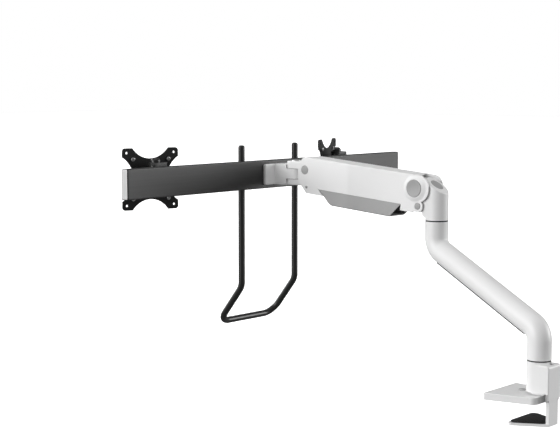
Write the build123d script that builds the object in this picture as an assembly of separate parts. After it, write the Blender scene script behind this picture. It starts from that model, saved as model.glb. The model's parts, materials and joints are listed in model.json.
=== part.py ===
"""Desk-clamped gas-spring arm with a crossbar for two screens.

Millimetres. +Z is up, +Y points from the desk's rear edge to the person at the desk, +X runs along
that edge. The origin is on the desk top, under the axis of the base column.
"""

import os
from math import atan2, cos, radians, sin, tan

from build123d import *

# Clearances
RUNNING = 0.05  # radial gap of a pin or shaft that turns in a bore
SEATED = 0.02  # radial gap of a pin or plug that is fixed in a bore
SLIDING = 0.3  # gap beside a face that slides
SEAM = 0.3  # gap between flat neighbours
OPEN_PIVOT = 0.3  # radial gap at the link pivot that closes the linkage
OVERCUT = 1.0  # how far a cut runs past the face that it opens

# Desk clamp
PAD_THICK = 2.0
PLATE_THICK = 12.5
PLATE_FRONT_HALF = 57.0
PLATE_REAR_HALF = 40.5
PLATE_FRONT = 78.0
PLATE_REAR = 16.5
PLATE_FRONT_RADIUS = 3.5
PLATE_REAR_RADIUS = 11.0
PLATE_EDGE = 0.8
PAD_INSET = 5.0
PAD_SUNK = 1.5  # how deep the pad sits in the plate's underside
POST_HEIGHT = 57.5
POST_REAR = 30.9
POST_REAR_STEP = 4.0
POST_CORNER = 2.0
POST_TOP_ROUND = 5.0
POST_BLEND = 3.5
POST_GAP = 4.3
POST_GAP_DEPTH = 9.0
POST_SKIRT = 6.0
POST_WALL = 1.2
POST_ROOF = 10.0
POST_SCREW_RADIUS = 2.5
POST_SCREW_HEAD = 4.5
POST_SCREW_DEPTH = 12.0
POST_SCREW_RING = 8.5
POST_SCREW_TURNS = (45, 135, 225, 315)
PLUG_RADIUS = 7.0
PLUG_ASIDE = 6.0
PLUG_FORWARD = 35.5
PLUG_PROUD = 2.5
PLUG_CHAMFER = 1.5
RING_THICK = 2.4
RING_INSET = 0.7

# Clamp jaw
DESK_GAP = 32.5
JAW_PAD_THICK = 2.5
JAW_THICK = 5.0
JAW_BACK_THICK = 5.7
JAW_HALF = 16.0
JAW_REAR = 29.4
JAW_FRONT = 36.0
JAW_FRONT_HALF = 48.0
JAW_CORNER = 6.0
JAW_TOP = 33.0
JAW_PAD_INSET = 1.5
GUIDE_THICK = 2.2
GUIDE_HEIGHT = 19.0
GUIDE_DROP = 4.0  # how far the guides hang below the post's skirt
LUG_HALF = 9.0
LUG_HEIGHT = 12.0
LUG_FRONT = 4.2
CLAMP_SCREW_BACK = 24.0
CLAMP_SCREW_RADIUS = 2.5
CLAMP_SCREW_HEAD = 4.0
CLAMP_SCREW_HEAD_HEIGHT = 5.0
CLAMP_SCREW_SOCKET = 2.0
CLAMP_SCREW_LENGTH = 54.0
JAW_LIFT = 19.0

# Lower arm
TUBE_RADIUS = 21.5
TUBE_WALL = 3.0
TUBE_LEG = 51.4
TUBE_UPPER_LEG = 48.2
TUBE_RISE = 220.4
TUBE_BEND = 28.0
LOWER_REACH = 260.0
LOWER_SWING = 13.4
SPINDLE_RADIUS = 12.5
SPINDLE_CHAMFER = 1.5
SPINDLE_PLUG = 34.0
BUSH_MARGIN = 1.5
ELBOW_BUSH_LENGTH = 38.0
CABLE_SLOT_HALF = 6.0
CABLE_SLOT_MARGIN = 10.0
COVER_LIP_HALF = 11.0
COVER_LIP_THICK = 1.6
COVER_RIB_DEPTH = 5.0

# Elbow
PIVOT_FORWARD = 33.0
PIVOT_RISE = 60.9
ELBOW_SLOPE = 36.0
ELBOW_REAR_HEIGHT = 49.9
ELBOW_TOP_FORWARD = 19.0
ELBOW_EDGE = 3.0
ELBOW_CAP_RADIUS = 13.2
ELBOW_CAP_THICK = 3.5
ELBOW_CAP_PROUD = 1.0
ELBOW_CAP_BACK = 0.0
ELBOW_CAP_ROUND = 0.9
ELBOW_BOLT_RADIUS = 4.0
ELBOW_BOLT_HEAD = 8.0
ELBOW_BOLT_HEAD_HEIGHT = 6.0
ELBOW_BOLT_DEPTH = 16.0
ELBOW_BOLT_ROOM = 1.0
GUSSET_HALF = 21.0
GUSSET_REACH = 19.0  # from the column's axis towards the arm
GUSSET_FOOT = 1.0  # above the elbow's lower end
GUSSET_CUT_WIDE = 11.6
GUSSET_CUT_HIGH = 8.5
WEB_HALF = 12.5
HUB_HALF = 21.0
HUB_RADIUS = 13.0
WEB_RADIUS = 18.0
LINK_BACK = 7.0
LINK_DROP = 33.0
LINK_EAR_RADIUS = 8.0
SPRING_DROP = 19.0
SPRING_PIN_RADIUS = 3.0
SLEEVE_WALL = 1.7
EYE_SLOT_REAR = 13.0

# Upper arm
ARM_LENGTH = 260.0
ARM_PITCH = 5.4
CASE_HALF = 26.0
CASE_WALL = 4.0
CASE_ABOVE = 25.0
CASE_BELOW = 45.0
CASE_TOP_WALL = 3.5
CASE_REAR_RADIUS = 26.0
CASE_REAR_BACK = 5.0
CASE_TOP_START = 8.0
CASE_FRONT = 11.0
CASE_FRONT_CUT = 19.0
CASE_TOP_END = 2.5
CASE_FRONT_ROUND = 12.0
CASE_EDGE = 2.5
CASE_EAR_RADIUS = 11.0
CASE_EAR_BACK = 10.0
CASE_EAR_DROP = 32.0
PIVOT_RADIUS = 6.0
FRONT_PIN_RADIUS = 4.0
PIN_CHAMFER = 0.5
WASHER_THICK = 0.8
BIG_CAP_RADIUS = 16.6
FRONT_CAP_RADIUS = 8.8
SMALL_CAP_RADIUS = 6.6
CAP_THICK = 2.5
CAP_PROUD = 0.8
CAP_ROUND = 0.9
CASE_SCREW_RADIUS = 2.8
CASE_SCREW_BACK = 8.0
CASE_SCREW_DROP = 33.0
COLLAR_RADIUS = 18.0
COLLAR_BASE = 24.5
COLLAR_PROUD = 2.2
TRAY_REAR = 28.0
TRAY_FRONT = 223.0
TRAY_TOP = 33.5
TRAY_BOTTOM = 61.0
TRAY_REAR_SLANT = 24.0
TRAY_FRONT_SLANT = 30.0
TRAY_FRONT_ROUND = 18.0
TRAY_EXIT_HALF = 18.7
TRAY_EXIT_DEPTH = 8.0
TRAY_WALL = 2.5
TRAY_EDGE = 3.0
TRAY_TAB_HALF = 8.0
TRAY_TAB_RISE = 6.0
TRAY_TAB_PLACES = (70.0, 180.0)

# Gas spring
CYLINDER_RADIUS = 10.0
CYLINDER_WALL = 2.0
CYLINDER_START = 78.0
CYLINDER_END = 196.0
CYLINDER_NOSE = 10.0
CYLINDER_CHAMFER = 1.5
PISTON_LENGTH = 8.0
HANGER_THICK = 5.0
EYE_FORWARD = 206.0
EYE_RADIUS = 7.0
EYE_HALF = 5.0
EYE_PIN_RADIUS = 3.0
SPRING_ROD_RADIUS = 5.0
ROD_INSIDE = 50.0
ROD_EYE_HALF = 5.0
ROD_EYE_WALL = 2.2
ROD_SLOT_SIDE = 0.8
ROD_SLOT_REACH = 4.6

# Parallel links
LINK_INNER = 13.0
LINK_THICK = 4.5
LINK_HALF_HEIGHT = 5.5
LINK_PIN_RADIUS = 3.0
LINK_PIN_PROUD = 0.8

# Head and bar bracket
SWIVEL_FORWARD = 41.6
SWIVEL_DROP = 9.8
FORK_HALF = 18.0
FORK_ABOVE = 25.0
FORK_BELOW = 22.0
FORK_REAR = 13.0
FORK_EDGE = 2.0
FORK_SLOT_ROOM = 2.0
TONGUE_HALF_HEIGHT = 10.0
TONGUE_RADIUS = 16.5
SWIVEL_WASHER_THICK = 0.8
SWIVEL_WASHER_INSET = 1.0
WASHER_PLAY = 0.1
SWIVEL_PIN_RADIUS = 6.0
SWIVEL_PIN_HEAD = 9.0
SWIVEL_PIN_HEAD_HEIGHT = 2.0
BAR_FORWARD = 48.0
BAR_DROP = 2.0
BRACKET_HALF = 44.0
BRACKET_HALF_HEIGHT = 20.5
BRACKET_THICK = 6.0
BRACKET_ROUND = 3.0
BRACKET_EDGE = 2.0
BRACKET_NECK_HALF = 16.5
BRACKET_NECK_REAR = 13.2  # the neck's rear corners, ahead of the swivel axis
BRACKET_NECK_GAP = 1.2
BRACKET_NECK_EDGE = 1.5
BRACKET_SCREW_RADIUS = 2.5
BRACKET_SCREW_HEAD = 4.2
BRACKET_SCREW_HEAD_HEIGHT = 2.5
BRACKET_SCREW_X = 32.0
BRACKET_SCREW_END = 1.0
BRACKET_SCREW_Z = 16.0

# Crossbar and handle
BAR_LENGTH = 842.0
BAR_HEIGHT = 56.0
BAR_DEPTH = 16.0
BAR_WALL = 2.5
BAR_ROUND = 2.0
RAIL_HALF = 5.0
RAIL_NUT_HALF = 9.0
RAIL_LIP = 2.5
RAIL_POCKET = 5.0
END_CAP_THICK = 4.0
END_CAP_PLUG = 14.0
END_CAP_ROUND = 1.8
HANDLE_RADIUS = 6.5
HANDLE_HALF = 84.0
HANDLE_TOP = 59.0
HANDLE_DROP = 222.0
HANDLE_KICK = 60.5
HANDLE_KICK_DROP = 77.0
HANDLE_BEND = 28.0
HANDLE_TIP = 0.6
HANDLE_CLAMP_BACK = 1.0
HANDLE_CLAMP_HALF = 11.0
HANDLE_CLAMP_HALF_HEIGHT = 17.0
HANDLE_CLAMP_WALL = 3.5

# Screen heads
HEAD_FROM_END = 137.0
HEAD_YAW = 19.2
CARRIAGE_HALF = 38.0
CARRIAGE_HALF_HEIGHT = 24.0
CARRIAGE_CORNER = 5.0
CARRIAGE_EDGE = 1.5
CARRIAGE_THICK = 7.0
TILT_FORWARD = 22.0
TILT_RADIUS = 9.5
TILT_HALF = 10.0
TILT_EAR_THICK = 6.0
TILT_PIN_RADIUS = 4.0
TILT_PIN_PROUD = 1.0
TILT_EAR_ROOT = 14.0
YAW_FORWARD = 50.0
YAW_EAR_RADIUS = 13.0
YAW_EAR_THICK = 5.0
YAW_BARREL_RADIUS = 12.0
YAW_BARREL_HALF = 27.0
YAW_WEB_THICK = 5.0
YAW_PIN_RADIUS = 5.0
YAW_DOME_RADIUS = 9.5
YAW_DOME_HEIGHT = 9.0
YAW_DOME_ROUND = 0.8
FLANGE_HALF = 36.0
FLANGE_HALF_HEIGHT = 24.0
FLANGE_CORNER = 8.0
FLANGE_THICK = 4.0
FLANGE_FRONT = 20.5
NECK_HALF_HEIGHT = 20.0
SPIGOT_RADIUS = 11.0
RETAINER_RADIUS = 15.0
RETAINER_THICK = 1.2
VESA_HALF = 59.0
VESA_THICK = 3.0
VESA_GAP = 0.2
VESA_CORNER = 6.0
VESA_WAIST_HIGH = 39.0
VESA_WAIST_HIGH_RADIUS = 46.0
VESA_WAIST_SIDE = 35.0
VESA_WAIST_SIDE_RADIUS = 49.0
VESA_WIDE = 50.0
VESA_NARROW = 37.5
VESA_HOLE_RADIUS = 2.5
VESA_SCREW_RADIUS = 2.0
VESA_SCREW_HEAD = 4.0
VESA_SCREW_HEAD_HEIGHT = 3.0
VESA_SCREW_LENGTH = 10.0

# Places that follow from the sizes
PLATE_BOTTOM = PAD_THICK - PAD_SUNK
PLATE_TOP = PLATE_BOTTOM + PLATE_THICK
POST_TOP = PLATE_TOP + POST_HEIGHT
TUBE_BOTTOM = POST_TOP + RING_THICK
TUBE_TOP = TUBE_BOTTOM + TUBE_RISE
TUBE_BORE = TUBE_RADIUS - TUBE_WALL
TUBE_TURN = atan2(LOWER_REACH, TUBE_RISE - TUBE_LEG - TUBE_UPPER_LEG)
BEND_REACH = TUBE_BEND * tan(TUBE_TURN / 2) + BUSH_MARGIN
BUSH_LENGTH = TUBE_LEG - BEND_REACH
ELBOW_PLUG = TUBE_UPPER_LEG - BEND_REACH
ELBOW_X = LOWER_REACH * sin(radians(LOWER_SWING))
ELBOW_Y = LOWER_REACH * cos(radians(LOWER_SWING))
ELBOW_BOTTOM = TUBE_TOP + RING_THICK
PIVOT = Vector(ELBOW_X, ELBOW_Y + PIVOT_FORWARD, TUBE_TOP + PIVOT_RISE)
ARM = Location(PIVOT, (ARM_PITCH, 0, 0))
FRONT_PIVOT = PIVOT + Vector(0, cos(radians(ARM_PITCH)), sin(radians(ARM_PITCH))) * ARM_LENGTH
LINK_OFFSET = Vector(0, -LINK_BACK, -LINK_DROP)
SPRING_ANCHOR = PIVOT + Vector(0, sin(radians(ARM_PITCH)), -cos(radians(ARM_PITCH))) * SPRING_DROP
SWIVEL = FRONT_PIVOT + Vector(0, SWIVEL_FORWARD, -SWIVEL_DROP)
BAR = SWIVEL + Vector(0, BAR_FORWARD, -BAR_DROP)
BAR_USER_Y = BAR.Y + BAR_DEPTH
HEAD_SPREAD = BAR_LENGTH / 2 - HEAD_FROM_END
CASE_INNER = CASE_HALF - CASE_WALL
JAW_BACK_FACE = -(JAW_REAR - JAW_BACK_THICK)
SKIRT_BOTTOM = PLATE_TOP - POST_SKIRT
CLAMP_SCREW_AXIS = Vector(0, -CLAMP_SCREW_BACK)
CLAMP_SCREW_SEAT = POST_TOP - POST_REAR_STEP - CLAMP_SCREW_HEAD_HEIGHT
LUG_FACE = LUG_FRONT - CLAMP_SCREW_BACK
JAW_FOOT_TOP = -(DESK_GAP + JAW_PAD_THICK)


def box(x, y, z):
    """A block between the two ends given for each axis."""
    low = Vector(min(x), min(y), min(z))
    high = Vector(max(x), max(y), max(z))
    size = high - low
    return Location((low + high) * 0.5) * Box(size.X, size.Y, size.Z)


def rod(radius, start, end):
    """A round bar between two points."""
    start = Vector(start)
    along = Vector(end) - start
    plane = Plane(origin=start, z_dir=along)
    return plane * Cylinder(radius, along.length, align=(Align.CENTER, Align.CENTER, Align.MIN))


def across(radius, centre, half):
    """A round bar along X, centred on a point."""
    reach = Vector(half, 0, 0)
    return rod(radius, Vector(centre) - reach, Vector(centre) + reach)


def upright(radius, centre, z_low, z_high):
    """A round bar along Z through a point."""
    return rod(radius, (centre.X, centre.Y, z_low), (centre.X, centre.Y, z_high))


def side_shape(sketch, x_low, x_high):
    """A sketch drawn in Y and Z, extruded along X between two places."""
    face = Plane.YZ.offset(x_low) * sketch
    return extrude(face, amount=x_high - x_low, dir=(1, 0, 0))


def plan_shape(sketch, z_low, z_high):
    """A sketch drawn in X and Y, extruded upwards."""
    face = Plane.XY.offset(z_low) * sketch
    return extrude(face, amount=z_high - z_low, dir=(0, 0, 1))


def disc_at(y, z, radius):
    return Pos(y, z) * Circle(radius)


def hull_of(*sketches):
    """The outline of a string drawn tight round several sketches."""
    return make_hull([edge for sketch in sketches for edge in sketch.edges()])


def save(name, *solids):
    """One STEP file for a node, with each piece as its own solid."""
    shapes = [s for piece in solids for s in piece.solids()]
    whole = shapes[0] if len(shapes) == 1 else Compound(children=shapes)
    whole.label = name
    export_step(whole, os.path.join("parts", name + ".step"))


# Desk clamp: the fixed pieces on the desk


def plate_outline(inset):
    front, rear = PLATE_FRONT - inset, -PLATE_REAR + inset
    shape = Polygon(
        (-PLATE_FRONT_HALF + inset, front),
        (PLATE_FRONT_HALF - inset, front),
        (PLATE_REAR_HALF - inset, rear),
        (-PLATE_REAR_HALF + inset, rear),
        align=None,
    )
    shape = fillet(shape.vertices().sort_by(Axis.Y)[2:], PLATE_FRONT_RADIUS)
    return fillet(shape.vertices().sort_by(Axis.Y)[:2], PLATE_REAR_RADIUS)


def post_screw_places():
    return [Vector(cos(radians(t)), sin(radians(t)), 0) * POST_SCREW_RING for t in POST_SCREW_TURNS]


def post_screw(place, gap=0.0):
    """A countersunk screw from under the plate into the post, or its hole with a gap round it."""
    seat = PAD_THICK
    cone_height = POST_SCREW_HEAD - POST_SCREW_RADIUS
    cone = Cone(
        POST_SCREW_HEAD + gap,
        POST_SCREW_RADIUS + gap,
        cone_height,
        align=(Align.CENTER, Align.CENTER, Align.MIN),
    )
    shank = upright(POST_SCREW_RADIUS + gap, place, seat, PLATE_TOP + POST_SCREW_DEPTH + gap)
    return Pos(place.X, place.Y, seat) * cone + shank


def grommet_plug(gap=0.0):
    """The plug in the plate's cable hole, or its hole with a gap round it."""
    place = Vector(PLUG_ASIDE, PLUG_FORWARD, 0)
    plug = upright(PLUG_RADIUS + gap, place, PAD_THICK, PLATE_TOP + PLUG_PROUD)
    return chamfer(plug.edges().sort_by(Axis.Z)[-1], PLUG_CHAMFER)


def top_plate():
    plate = plan_shape(plate_outline(0), PLATE_BOTTOM, PLATE_TOP)
    plate = chamfer(plate.faces().sort_by(Axis.Z)[-1].outer_wire().edges(), PLATE_EDGE)
    plate -= plan_shape(plate_outline(PAD_INSET - SEAM), PLATE_BOTTOM, PAD_THICK)
    plate -= grommet_plug(SEATED)
    for place in post_screw_places():
        plate -= post_screw(place, SEATED)
    return plate


def plate_pad():
    return plan_shape(plate_outline(PAD_INSET), 0, PAD_THICK)


def clamp_screw_hole():
    hole = upright(CLAMP_SCREW_RADIUS + SLIDING, CLAMP_SCREW_AXIS, PLATE_TOP, POST_TOP)
    return hole + upright(CLAMP_SCREW_HEAD + SLIDING, CLAMP_SCREW_AXIS, CLAMP_SCREW_SEAT, POST_TOP)


def jaw_guide(side, gap=0.0):
    """A plastic strip beside the jaw's upright, or its pocket with a gap round it."""
    inner = JAW_HALF + SLIDING
    x = (side * inner, side * (inner + GUIDE_THICK + gap))
    y = (-JAW_REAR - gap, JAW_BACK_FACE + gap)
    bottom = SKIRT_BOTTOM - GUIDE_DROP
    return box(x, y, (bottom, bottom + GUIDE_HEIGHT))


def post_blend():
    """The hollow curve by which the column runs out into the top of the block."""
    roof = POST_TOP - POST_REAR_STEP
    corner = Pos(TUBE_RADIUS + POST_BLEND / 2, roof + POST_BLEND / 2) * Rectangle(POST_BLEND, POST_BLEND)
    corner -= Pos(TUBE_RADIUS + POST_BLEND, roof + POST_BLEND) * Circle(POST_BLEND)
    half = TUBE_RADIUS - POST_CORNER
    return revolve(Plane.XZ * corner, Axis.Z) & box((-half, half), (-POST_REAR, 0), (roof, POST_TOP))


def post_gap():
    """The open gap between the plate and the post's lower edge, round a narrower foot."""
    height = (PLATE_TOP, PLATE_TOP + POST_GAP)
    inner = TUBE_RADIUS - POST_GAP_DEPTH
    foot = upright(inner, Vector(0, 0), *height) + box((-inner, inner), (-PLATE_REAR, 0), height)
    width = (-2 * TUBE_RADIUS, 2 * TUBE_RADIUS)
    return box(width, (-POST_REAR + POST_WALL, 2 * TUBE_RADIUS), height) - foot


def clamp_post():
    """The column with the block behind it, which holds the jaw's upright and hangs over the plate's rear."""
    roof = POST_TOP - POST_REAR_STEP
    width = (-TUBE_RADIUS, TUBE_RADIUS)
    block = box(width, (-POST_REAR, 0), (SKIRT_BOTTOM, roof))
    block = fillet(block.edges().filter_by(Axis.X).group_by(Axis.Z)[-1].sort_by(Axis.Y)[0], POST_TOP_ROUND)
    block = fillet(block.edges().filter_by(Axis.Z).sort_by(Axis.Y)[:2], POST_CORNER)
    back = -POST_REAR + POST_WALL
    block -= box((-2 * TUBE_RADIUS, 2 * TUBE_RADIUS), (back, TUBE_RADIUS), (SKIRT_BOTTOM, PLATE_TOP))
    cavity_half = JAW_HALF + SLIDING
    cavity_y = (back, LUG_FACE + SLIDING)
    post = upright(TUBE_RADIUS, Vector(0, 0), PLATE_TOP, POST_TOP) + block + post_blend()
    post -= box((-cavity_half, cavity_half), cavity_y, (SKIRT_BOTTOM, roof - POST_ROOF))
    post -= clamp_screw_hole() + post_gap()
    post -= upright(SPINDLE_RADIUS + SEATED, Vector(0, 0), POST_TOP - SPINDLE_PLUG, POST_TOP)
    for side in (-1, 1):
        post -= jaw_guide(side, SEATED)
    for place in post_screw_places():
        post -= post_screw(place, SEATED)
    return post


def base_spindle():
    low, high = POST_TOP - SPINDLE_PLUG, TUBE_BOTTOM + BUSH_LENGTH
    spindle = upright(SPINDLE_RADIUS, Vector(0, 0), low, high)
    return chamfer(spindle.edges().sort_by(Axis.Z)[-1], SPINDLE_CHAMFER)


def ring_at(x, y, z):
    """The dark washer that a tube or an elbow turns on."""
    centre = Vector(x, y)
    ring = upright(TUBE_RADIUS - RING_INSET, centre, z, z + RING_THICK)
    return ring - upright(SPINDLE_RADIUS + SLIDING, centre, z, z + RING_THICK)


# Desk clamp: the jaw and its screw


def jaw_outline(inset, rear):
    """The foot's outline, which widens from the upright towards the front."""
    front = JAW_FRONT - inset
    share = (JAW_REAR + rear) / (JAW_REAR + JAW_FRONT)
    rear_half = JAW_HALF + (JAW_FRONT_HALF - JAW_HALF) * share - inset
    front_half = JAW_FRONT_HALF - inset
    shape = Polygon(
        (-front_half, front), (front_half, front), (rear_half, rear), (-rear_half, rear), align=None
    )
    return fillet(shape.vertices().sort_by(Axis.Y)[2:], JAW_CORNER)


def clamp_jaw():
    bottom = JAW_FOOT_TOP - JAW_THICK
    foot = plan_shape(jaw_outline(0, -JAW_REAR), bottom, JAW_FOOT_TOP)
    lug_z = (JAW_TOP - LUG_HEIGHT, JAW_TOP)
    jaw = foot + box((-JAW_HALF, JAW_HALF), (-JAW_REAR, JAW_BACK_FACE), (bottom, JAW_TOP))
    jaw += box((-LUG_HALF, LUG_HALF), (JAW_BACK_FACE, LUG_FACE), lug_z)
    screw_end = CLAMP_SCREW_SEAT - CLAMP_SCREW_LENGTH
    jaw -= upright(CLAMP_SCREW_RADIUS + RUNNING, CLAMP_SCREW_AXIS, *lug_z)
    groove_end = screw_end - JAW_LIFT - OVERCUT
    return jaw - upright(CLAMP_SCREW_RADIUS + SLIDING, CLAMP_SCREW_AXIS, groove_end, lug_z[0])


def jaw_pad():
    outline = jaw_outline(JAW_PAD_INSET, JAW_BACK_FACE + SEAM)
    return plan_shape(outline, JAW_FOOT_TOP, -DESK_GAP)


def clamp_screw():
    top = CLAMP_SCREW_SEAT + CLAMP_SCREW_HEAD_HEIGHT - SEAM
    end = CLAMP_SCREW_SEAT - CLAMP_SCREW_LENGTH
    screw = upright(CLAMP_SCREW_RADIUS, CLAMP_SCREW_AXIS, end, CLAMP_SCREW_SEAT)
    screw += upright(CLAMP_SCREW_HEAD, CLAMP_SCREW_AXIS, CLAMP_SCREW_SEAT, top)
    socket = Pos(CLAMP_SCREW_AXIS.X, CLAMP_SCREW_AXIS.Y) * RegularPolygon(CLAMP_SCREW_SOCKET, 6)
    return screw - plan_shape(socket, top - CLAMP_SCREW_HEAD_HEIGHT / 2, top)


# Lower arm


def tube_path():
    corner_low = (0, 0, TUBE_BOTTOM + TUBE_LEG)
    corner_high = (ELBOW_X, ELBOW_Y, TUBE_TOP - TUBE_UPPER_LEG)
    return FilletPolyline(
        (0, 0, TUBE_BOTTOM), corner_low, corner_high, (ELBOW_X, ELBOW_Y, TUBE_TOP), radius=TUBE_BEND
    )


def tube_slant():
    """The plane at the middle of the slanted run: X along the run, Z out of its underside."""
    run = tube_path().edges().sort_by(SortBy.LENGTH)[-1]
    along = (run @ 1 - run @ 0).normalized()
    side = Vector(0, 0, 1).cross(along).normalized()
    return Plane(origin=run @ 0.5, x_dir=along, z_dir=side.cross(along)), run.length


def cable_slot(half, depth_from, depth_to, trim):
    """A block along the tube's underside, between two distances from its axis."""
    plane, length = tube_slant()
    size = length - 2 * CABLE_SLOT_MARGIN - 2 * trim
    block = Box(size, 2 * half, depth_to - depth_from, align=(Align.CENTER, Align.CENTER, Align.MIN))
    return plane * Pos(0, 0, depth_from) * block


def lower_tube():
    path = tube_path()
    start = Plane(origin=path @ 0, z_dir=path % 0)
    tube = sweep(start * (Circle(TUBE_RADIUS) - Circle(TUBE_BORE)), path=path)
    return tube - cable_slot(CABLE_SLOT_HALF, TUBE_BORE - COVER_RIB_DEPTH, TUBE_RADIUS + OVERCUT, 0)


def lower_cable_cover():
    """The strip that closes the tube's cable slot: a curved lip outside and a rib in the slot."""
    plane, length = tube_slant()
    lip_length = length - CABLE_SLOT_MARGIN
    lip_inner = TUBE_RADIUS + SEATED
    lip = Cylinder(lip_inner + COVER_LIP_THICK, lip_length) - Cylinder(lip_inner, lip_length)
    lip = plane * Rot(0, 90, 0) * lip
    lip &= cable_slot(COVER_LIP_HALF, 0, TUBE_RADIUS + 2 * COVER_LIP_THICK, -CABLE_SLOT_MARGIN)
    rib = cable_slot(CABLE_SLOT_HALF - SEATED, TUBE_BORE, TUBE_RADIUS + COVER_LIP_THICK / 2, SEATED)
    return lip + rib


def base_bush():
    low = TUBE_BOTTOM
    bush = upright(TUBE_BORE - SEATED, Vector(0, 0), low, low + BUSH_LENGTH)
    bush -= upright(SPINDLE_RADIUS + RUNNING, Vector(0, 0), low, low + BUSH_LENGTH)
    return bush


def elbow_spindle():
    axis = Vector(ELBOW_X, ELBOW_Y)
    top = ELBOW_BOTTOM + ELBOW_BUSH_LENGTH
    spindle = upright(TUBE_BORE - SEATED, axis, TUBE_TOP - ELBOW_PLUG, TUBE_TOP)
    spindle += upright(SPINDLE_RADIUS, axis, TUBE_TOP, top)
    return spindle - upright(ELBOW_BOLT_RADIUS + SEATED, axis, top - ELBOW_BOLT_DEPTH, top)


def elbow_bolt():
    """The bolt and washer that keep the elbow on its spindle."""
    axis = Vector(ELBOW_X, ELBOW_Y)
    seat = ELBOW_BOTTOM + ELBOW_BUSH_LENGTH
    bolt = upright(ELBOW_BOLT_RADIUS, axis, seat - ELBOW_BOLT_DEPTH, seat)
    return bolt + upright(ELBOW_BOLT_HEAD, axis, seat, seat + ELBOW_BOLT_HEAD_HEIGHT)


# Elbow


def elbow_top_plane():
    """The slanted top face: it rises towards the arm."""
    rise = radians(ELBOW_SLOPE)
    rear = Vector(ELBOW_X, ELBOW_Y - TUBE_RADIUS, ELBOW_BOTTOM + ELBOW_REAR_HEIGHT)
    return Plane(origin=rear, x_dir=(1, 0, 0), z_dir=(0, -sin(rise), cos(rise)))


def elbow_cap_centre():
    plane = elbow_top_plane()
    up_slope = (TUBE_RADIUS - ELBOW_CAP_BACK) / cos(radians(ELBOW_SLOPE))
    return plane.origin + plane.y_dir * up_slope, plane.z_dir


def pivot_web(main, low, *others):
    """The side outline of a web round a main pivot and a lower link pivot."""
    discs = [disc_at(main.Y, main.Z, WEB_RADIUS), disc_at(low.Y, low.Z, LINK_EAR_RADIUS)]
    return hull_of(*discs, *others)


def span(y, z):
    """A rectangle in Y and Z between the two ends given for each."""
    return Pos((y[0] + y[1]) / 2, (z[0] + z[1]) / 2) * Rectangle(y[1] - y[0], z[1] - z[0])


def rod_eye_slot():
    """The room in the web for the swing of the spring rod's eye, with a sleeve left round the shaft."""
    rear, front = PIVOT.Y - EYE_SLOT_REAR, PIVOT.Y + 2 * WEB_RADIUS
    below = span((rear, front), (PIVOT.Z - LINK_DROP - 2 * LINK_EAR_RADIUS, PIVOT.Z))
    ahead = span((PIVOT.Y + PIVOT_RADIUS + SLEEVE_WALL, front), (PIVOT.Z, PIVOT.Z + WEB_RADIUS / 2))
    shape = below + ahead - disc_at(PIVOT.Y, PIVOT.Z, PIVOT_RADIUS + SLEEVE_WALL)
    half = ROD_EYE_HALF + SEAM
    return side_shape(shape, ELBOW_X - half, ELBOW_X + half)


def elbow_column():
    """The column with its slanted, soft-edged top, stepped down behind the arm's top wall."""
    blank = 5 * TUBE_RADIUS
    column = upright(TUBE_RADIUS, Vector(ELBOW_X, ELBOW_Y), ELBOW_BOTTOM, ELBOW_BOTTOM + blank)
    align = (Align.CENTER, Align.CENTER, Align.MIN)
    column -= elbow_top_plane() * Box(2 * blank, 2 * blank, blank, align=align)
    column = fillet(column.edges().filter_by(GeomType.ELLIPSE), ELBOW_EDGE)
    ridge = ELBOW_Y + ELBOW_TOP_FORWARD
    width = (ELBOW_X - blank, ELBOW_X + blank)
    return column - box(width, (ridge, ridge + blank), (PIVOT.Z + WEB_RADIUS, PIVOT.Z + blank))


def elbow_gusset():
    """The square shoulder that fills the column out towards the arm, between the case's cheeks."""
    front = ELBOW_Y + GUSSET_REACH
    bottom = ELBOW_BOTTOM + GUSSET_FOOT
    shape = Polygon(
        (ELBOW_Y, PIVOT.Z),
        (front, PIVOT.Z),
        (front, bottom + GUSSET_CUT_HIGH),
        (front - GUSSET_CUT_WIDE, bottom),
        (ELBOW_Y, bottom),
        align=None,
    )
    return side_shape(shape, ELBOW_X - GUSSET_HALF, ELBOW_X + GUSSET_HALF)


def elbow_housing():
    axis = Vector(ELBOW_X, ELBOW_Y)
    link = PIVOT + LINK_OFFSET
    bush_top = ELBOW_BOTTOM + ELBOW_BUSH_LENGTH
    foot_y = (ELBOW_Y - TUBE_RADIUS / 2, ELBOW_Y + TUBE_RADIUS / 2)
    foot = span(foot_y, (ELBOW_BOTTOM, ELBOW_BOTTOM + LINK_EAR_RADIUS))
    web = pivot_web(PIVOT, link, foot)
    housing = elbow_column() + side_shape(web, ELBOW_X - WEB_HALF, ELBOW_X + WEB_HALF)
    housing += across(HUB_RADIUS, PIVOT, HUB_HALF) + elbow_gusset()
    housing -= upright(TUBE_BORE, axis, ELBOW_BOTTOM, bush_top)
    bolt_top = bush_top + ELBOW_BOLT_HEAD_HEIGHT + ELBOW_BOLT_ROOM
    housing -= upright(ELBOW_BOLT_HEAD + ELBOW_BOLT_ROOM, axis, bush_top, bolt_top)
    centre, normal = elbow_cap_centre()
    seat = centre - normal * (ELBOW_CAP_THICK - ELBOW_CAP_PROUD)
    housing -= rod(ELBOW_CAP_RADIUS + SEATED, seat, seat + normal * TUBE_RADIUS)
    housing -= rod_eye_slot()
    housing -= across(PIVOT_RADIUS + RUNNING, PIVOT, HUB_HALF)
    housing -= across(LINK_PIN_RADIUS + SEATED, link, WEB_HALF)
    return housing - across(SPRING_PIN_RADIUS + SEATED, SPRING_ANCHOR, WEB_HALF)


def elbow_bush():
    axis = Vector(ELBOW_X, ELBOW_Y)
    top = ELBOW_BOTTOM + ELBOW_BUSH_LENGTH
    bush = upright(TUBE_BORE - SEATED, axis, ELBOW_BOTTOM, top)
    return bush - upright(SPINDLE_RADIUS + RUNNING, axis, ELBOW_BOTTOM, top)


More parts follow.
